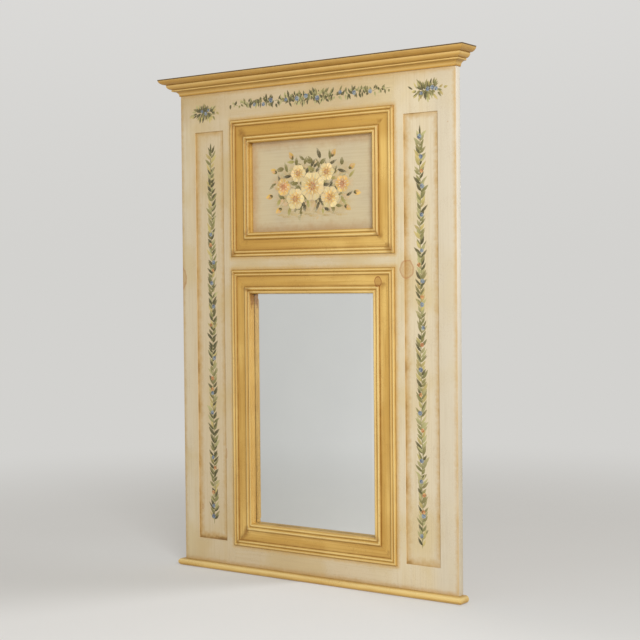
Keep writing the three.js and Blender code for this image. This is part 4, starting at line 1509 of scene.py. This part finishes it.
def garland():
    painting = Painting(FACE, 21)
    chance = painting.chance
    for step in range(26):
        reach = (step / 25 * 2 - 1) * GARLAND_HALF_LENGTH * 0.94
        at = (GARLAND_MIDDLE + reach, GARLAND_HEIGHT + 2 * MM * math.sin(step * 1.3))
        painting.lay(leaf_stroke, at, chance.uniform(-22, 22), 20 * MM, 1.4 * MM, MID_LEAF, cover=0.8)
    for _ in range(GARLAND_LEAVES):
        share = chance.triangular(-1, 1, 0.1) if chance.random() < 0.6 else chance.uniform(-1, 1)
        fullness = (1 - abs(share)) ** 0.55
        at = (GARLAND_MIDDLE + share * GARLAND_HALF_LENGTH, GARLAND_HEIGHT + chance.uniform(-9, 9) * MM * fullness)
        upwards = chance.random() < 0.62
        angle = chance.uniform(35, 145) if upwards else chance.uniform(-130, -40)
        length = chance.uniform(11, 21) * MM * (0.5 + 0.5 * fullness)
        tones = [DARK_LEAF, DARK_LEAF, MID_LEAF, PALE_LEAF] if fullness > 0.5 else [MID_LEAF, PALE_LEAF, DARK_LEAF]
        painting.lay(leaf_stroke, at, angle, length, chance.uniform(4.0, 6.8) * MM, chance.choice(tones),
                     bend=chance.uniform(-0.2, 0.2))
    for x, z in GARLAND_FLOWERS:
        dab_flower(painting, (x * MM, z * MM), chance.uniform(5.2, 7.4) * MM, BLUES)
    painting.finish("garland", board_ornament, "cream_paint")


garland()


# %% Corner sprigs
def sprig(name, centre_x, centre_z, flowers, seed):
    painting = Painting(FACE, seed)
    chance = painting.chance
    for _ in range(104):
        angle = chance.uniform(0, 360)
        turn = math.radians(angle)
        start = chance.triangular(-8, 52, 14) * MM
        at = (centre_x + start * math.cos(turn), centre_z + start * 0.3 * math.sin(turn))
        tones = [MID_LEAF, PALE_LEAF, OLIVE_LEAF, DARK_LEAF] if start > 24 * MM else [DARK_LEAF, DARK_LEAF, MID_LEAF]
        lift = 0.6 if start < 24 * MM else 0.85
        steeper = 90 + (angle - 90) * lift if angle < 180 else 270 + (angle - 270) * lift
        painting.lay(leaf_stroke, at, steeper, chance.uniform(11, 19) * MM, chance.uniform(3.8, 6.2) * MM,
                     chance.choice(tones), bend=chance.uniform(-0.25, 0.25))
    for x, z, radius in flowers:
        dab_flower(painting, (centre_x + x * MM, centre_z + z * MM), radius * MM, BLUES)
    painting.finish(name, board_ornament, "cream_paint")


sprig("sprig_left", -343 * MM, -7 * MM, [(-8, 3, 5), (5, -3, 5.5), (14, 5, 4.5)], 31)
sprig("sprig_right", 345.6 * MM, -7 * MM, [(4, 2, 6), (17, 4, 6.5), (27, 1, 5.5), (-14, -7, 5)], 32)

# %% [markdown]
# ## The picture's spray
# A simple spray of blossoms fills the picture: a large open blossom in the middle, a smaller one on each
# side, buds at the tips and slim olive leaves between them, the same to the left as to the right.
# Each petal is a broad stroke with a shaded throat and a light rib.

# %% Picture spray
SPRAY_MIDDLE = SIGHT["middle"] - 8 * MM
PANEL_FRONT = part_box("picture_panel")[0][1]
PETAL_CREAM, PETAL_YELLOW, PETAL_PEACH, PETAL_ROSE = "d3ba82", "c99f50", "c3884f", "a0623f"
SPRAY_DARK, SPRAY_OLIVE, SPRAY_PALE = "4d4426", "6f6534", "968a4a"
SPRAY_WASH = ["a8904c", "b38f4e", "9c8a48", "bb8c50"]
RIB_CREAM = "dfcb98"


def blossom(painting, at, radius, petals, tones, layer):
    """An open flower in two rings of petals; tones are those of the outer ring, the inner ring and the rib."""
    chance = painting.chance
    for share, tone, over in ((1.0, tones[0], 0), (0.62, tones[1], 5)):
        for petal in range(petals):
            angle = 90 + (petal + (0.5 if share == 1.0 else 0)) * 360 / petals
            painting.lay(petal_stroke, at, angle + chance.uniform(-4, 4), radius * share, radius * share * 0.8, tone,
                         layer=layer + over + petal % 2)
            painting.lay(leaf_stroke, at, angle + 180 / petals, radius * share, radius * 0.09, PETAL_ROSE,
                         layer=layer + over + 2, cover=0.62)
            turn = math.radians(angle)
            rib = (at[0] + math.cos(turn) * radius * share * 0.45, at[1] + math.sin(turn) * radius * share * 0.45)
            painting.lay(leaf_stroke, rib, angle + chance.uniform(-9, 9), radius * share * 0.5, radius * 0.12, tones[2],
                         layer=layer + over + 3, cover=0.66)
    for dot in range(7):
        turn = math.radians(dot * 360 / 7)
        spot = (at[0] + math.cos(turn) * radius * 0.13, at[1] + math.sin(turn) * radius * 0.13)
        painting.lay(petal_stroke, spot, dot * 360 / 7, radius * 0.17, radius * 0.12, PETAL_ROSE, layer=layer + 10)


def bud(painting, at, angle, size, tones):
    painting.lay(leaf_stroke, at, angle, size * 1.25, size * 0.7, tones[0], layer=4)
    painting.lay(leaf_stroke, at, angle + 12, size * 0.95, size * 0.3, tones[1], layer=7, cover=0.8)
    painting.lay(leaf_stroke, at, angle - 20, size * 0.6, size * 0.25, SPRAY_DARK, layer=9)
    painting.lay(leaf_stroke, at, angle + 24, size * 0.5, size * 0.25, SPRAY_OLIVE, layer=9)


def leafy_stem(painting, at, angle, length, side):
    """A thin stem with a few leaves along it and one at its end."""
    chance = painting.chance
    painting.lay(leaf_stroke, at, angle, length, 1.8 * MM, SPRAY_DARK, bend=side * 0.18, cover=0.9)
    turn = math.radians(angle)
    for step in range(2, 8):
        reach = step / 8 * length
        drop = side * 0.18 * length * (step / 8) ** 2
        spot = (at[0] + math.cos(turn) * reach - math.sin(turn) * drop,
                at[1] + math.sin(turn) * reach + math.cos(turn) * drop)
        lean = 38 if step % 2 else -38
        painting.lay(leaf_stroke, spot, angle + lean + chance.uniform(-10, 10), chance.uniform(20, 34) * MM,
                     chance.uniform(7, 12) * MM, chance.choice([SPRAY_DARK, SPRAY_OLIVE, SPRAY_OLIVE, SPRAY_PALE]),
                     bend=side * chance.uniform(-0.1, 0.25), layer=1, cover=0.9)


def picture_spray():
    painting = Painting(PANEL_FRONT, 41)
    chance = painting.chance
    for step in range(64):
        turn = math.radians(step * 137.5)
        reach = math.sqrt((step + 0.5) / 64)
        for side in (-1, 1):
            at = (side * math.cos(turn) * reach * 112 * MM, SPRAY_MIDDLE + (math.sin(turn) * reach * 62 - 4) * MM)
            lean = chance.uniform(-70, 70)
            painting.lay(leaf_stroke, at, lean if side > 0 else 180 - lean, 30 * MM, 10 * MM, SPRAY_WASH[step % 4],
                         cover=0.6)
    for step in range(14):
        at = ((-112 + 14 * step) * MM, SPRAY_MIDDLE - (66 + 5 * math.sin(step * 2.1)) * MM)
        painting.lay(leaf_stroke, at, 0, 46 * MM, 6 * MM, "ae9150", cover=0.62)
    for side in (-1, 1):
        for angle, length in ((6, 124), (27, 116), (-19, 110), (48, 102), (68, 92), (84, 78), (-40, 86), (-64, 60)):
            facing = angle if side > 0 else 180 - angle
            leafy_stem(painting, (side * 6 * MM, SPRAY_MIDDLE - 8 * MM), facing, length * MM, side)
        for x, z, angle in ((112, 42, 30), (126, -16, -8), (60, 74, 58), (98, -48, -30)):
            facing = angle if side > 0 else 180 - angle
            bud(painting, (side * x * MM, SPRAY_MIDDLE + z * MM), facing, 19 * MM, (PETAL_YELLOW, PETAL_PEACH))
        blossom(painting, (side * 92 * MM, SPRAY_MIDDLE + 6 * MM), 23 * MM, 6, (PETAL_YELLOW, PETAL_PEACH, RIB_CREAM), 4)
        blossom(painting, (side * 54 * MM, SPRAY_MIDDLE - 26 * MM), 29 * MM, 6, (PETAL_CREAM, PETAL_YELLOW, RIB_CREAM), 6)
        blossom(painting, (side * 44 * MM, SPRAY_MIDDLE + 38 * MM), 24 * MM, 6, (PETAL_CREAM, PETAL_YELLOW, RIB_CREAM), 8)
    blossom(painting, (0, SPRAY_MIDDLE + 4 * MM), 38 * MM, 8, (PETAL_CREAM, PETAL_YELLOW, RIB_CREAM), 20)
    painting.finish("picture_spray", panel_ornament, "panel_paint")


picture_spray()
for model in (leaf_stroke, petal_stroke):
    bpy.data.objects.remove(model)

# %% [markdown]
# ## Studio
# Soft light, mostly from the right and a little from above, as in the photograph: one large lamp, and a
# pale world that fills the shadows. The mirror shows that world, so it has a quiet gradient. The floor is
# pale and plain and keeps the shadow.

# %% Backdrop group
BACKDROP_HIGH = colour("dfdedc")
BACKDROP_LOW = colour("d3d2cf")
FRONT_RIGHT = colour("eae9e7")
FRONT_LEFT = colour("c1c0bd")
FRONT_HIGH = colour("ecebe9")

backdrop, given, results = start_group("backdrop", [("Vector", "vector")], [("Color", "colour")])
split = backdrop.nodes.new("ShaderNodeSeparateXYZ")
feed(backdrop, split.inputs[0], given["Vector"])
behind = blend(backdrop, fade(backdrop, split.outputs["Z"], 0.0, 0.35), BACKDROP_HIGH, BACKDROP_LOW)
in_front = blend(backdrop, fade(backdrop, split.outputs["X"], -0.85, -0.35), FRONT_RIGHT, FRONT_LEFT)
in_front = blend(backdrop, fade(backdrop, split.outputs["Z"], 0.02, 0.3), FRONT_HIGH, in_front)
feed(backdrop, results["Color"], blend(backdrop, fade(backdrop, split.outputs["Y"], -0.6, 0.0), behind, in_front))


# %% World
def pale_world():
    world = bpy.data.worlds.new("studio")
    world.use_nodes = True
    bpy.context.scene.world = world
    tree = world.node_tree
    lighting = tree.nodes["Background"]
    lighting.inputs["Color"].default_value = (1.0, 0.95, 0.87, 1)
    lighting.inputs["Strength"].default_value = 0.44
    shown = tree.nodes.new("ShaderNodeBackground")
    direction = tree.nodes.new("ShaderNodeTexCoord").outputs["Generated"]
    feed(tree, shown.inputs["Color"], use_group(tree, backdrop, vector=direction)["Color"])
    path = tree.nodes.new("ShaderNodeLightPath").outputs
    seen = strongest(tree, [path["Is Camera Ray"], path["Is Glossy Ray"], path["Is Transmission Ray"]])
    choice = tree.nodes.new("ShaderNodeMixShader")
    feed(tree, choice.inputs[0], seen)
    feed(tree, choice.inputs[1], lighting.outputs[0])
    feed(tree, choice.inputs[2], shown.outputs[0])
    feed(tree, tree.nodes["World Output"].inputs["Surface"], choice.outputs[0])


pale_world()

# %% Floor
FLOOR_SIZE = 40.0
FLOOR_GAP = 0.5 * MM


def pale_floor():
    bpy.ops.object.select_all(action="DESELECT")
    bpy.ops.mesh.primitive_plane_add(size=FLOOR_SIZE, location=(0, 0, SILL_LOW[2] - FLOOR_GAP))
    floor = bpy.context.object
    floor.name = "pale_floor"
    material, tree, surface, place = start_finish("pale_floor", roughness=0.9)
    surface.inputs["Specular IOR Level"].default_value = 0.1
    grain = noise(tree, place, 3.0, 2.0)
    feed(tree, surface.inputs["Base Color"], blend(tree, grain, colour("e9e8e6"), colour("edecea")))
    far = tree.nodes.new("ShaderNodeVectorMath")
    far.operation = "LENGTH"
    feed(tree, far.inputs[0], place)
    near_by = calc(tree, "MULTIPLY", fade(tree, far.outputs["Value"], 0.9, 3.2), 0.6)
    distant = calc(tree, "SUBTRACT", 1.0, near_by)
    direction = tree.nodes.new("ShaderNodeVectorMath")
    direction.operation = "NORMALIZE"
    feed(tree, direction.inputs[0], place)
    glow = tree.nodes.new("ShaderNodeEmission")
    feed(tree, glow.inputs["Color"], use_group(tree, backdrop, vector=direction.outputs[0])["Color"])
    mix = tree.nodes.new("ShaderNodeMixShader")
    feed(tree, mix.inputs[0], distant)
    feed(tree, mix.inputs[1], surface.outputs[0])
    feed(tree, mix.inputs[2], glow.outputs[0])
    feed(tree, tree.nodes["Material Output"].inputs["Surface"], mix.outputs[0])
    floor.data.materials.append(material)


pale_floor()

# %% Key lamp
BODY_MIDDLE = Vector((0, FACE, BODY["middle"]))


def soft_lamp(name, direction, distance, size, power):
    data = bpy.data.lights.new(name, "AREA")
    data.shape = "SQUARE"
    data.size = size
    data.energy = power
    data.color = (0.95, 0.98, 1.0)
    lamp = bpy.data.objects.new(name, data)
    away = Vector(direction).normalized()
    lamp.location = BODY_MIDDLE + away * distance
    lamp.rotation_euler = away.to_track_quat("Z", "Y").to_euler()
    bpy.context.collection.objects.link(lamp)


soft_lamp("key_lamp", (0.68, -0.66, 0.27), 3.7, 1.3, 102)
print("lamp and world set")
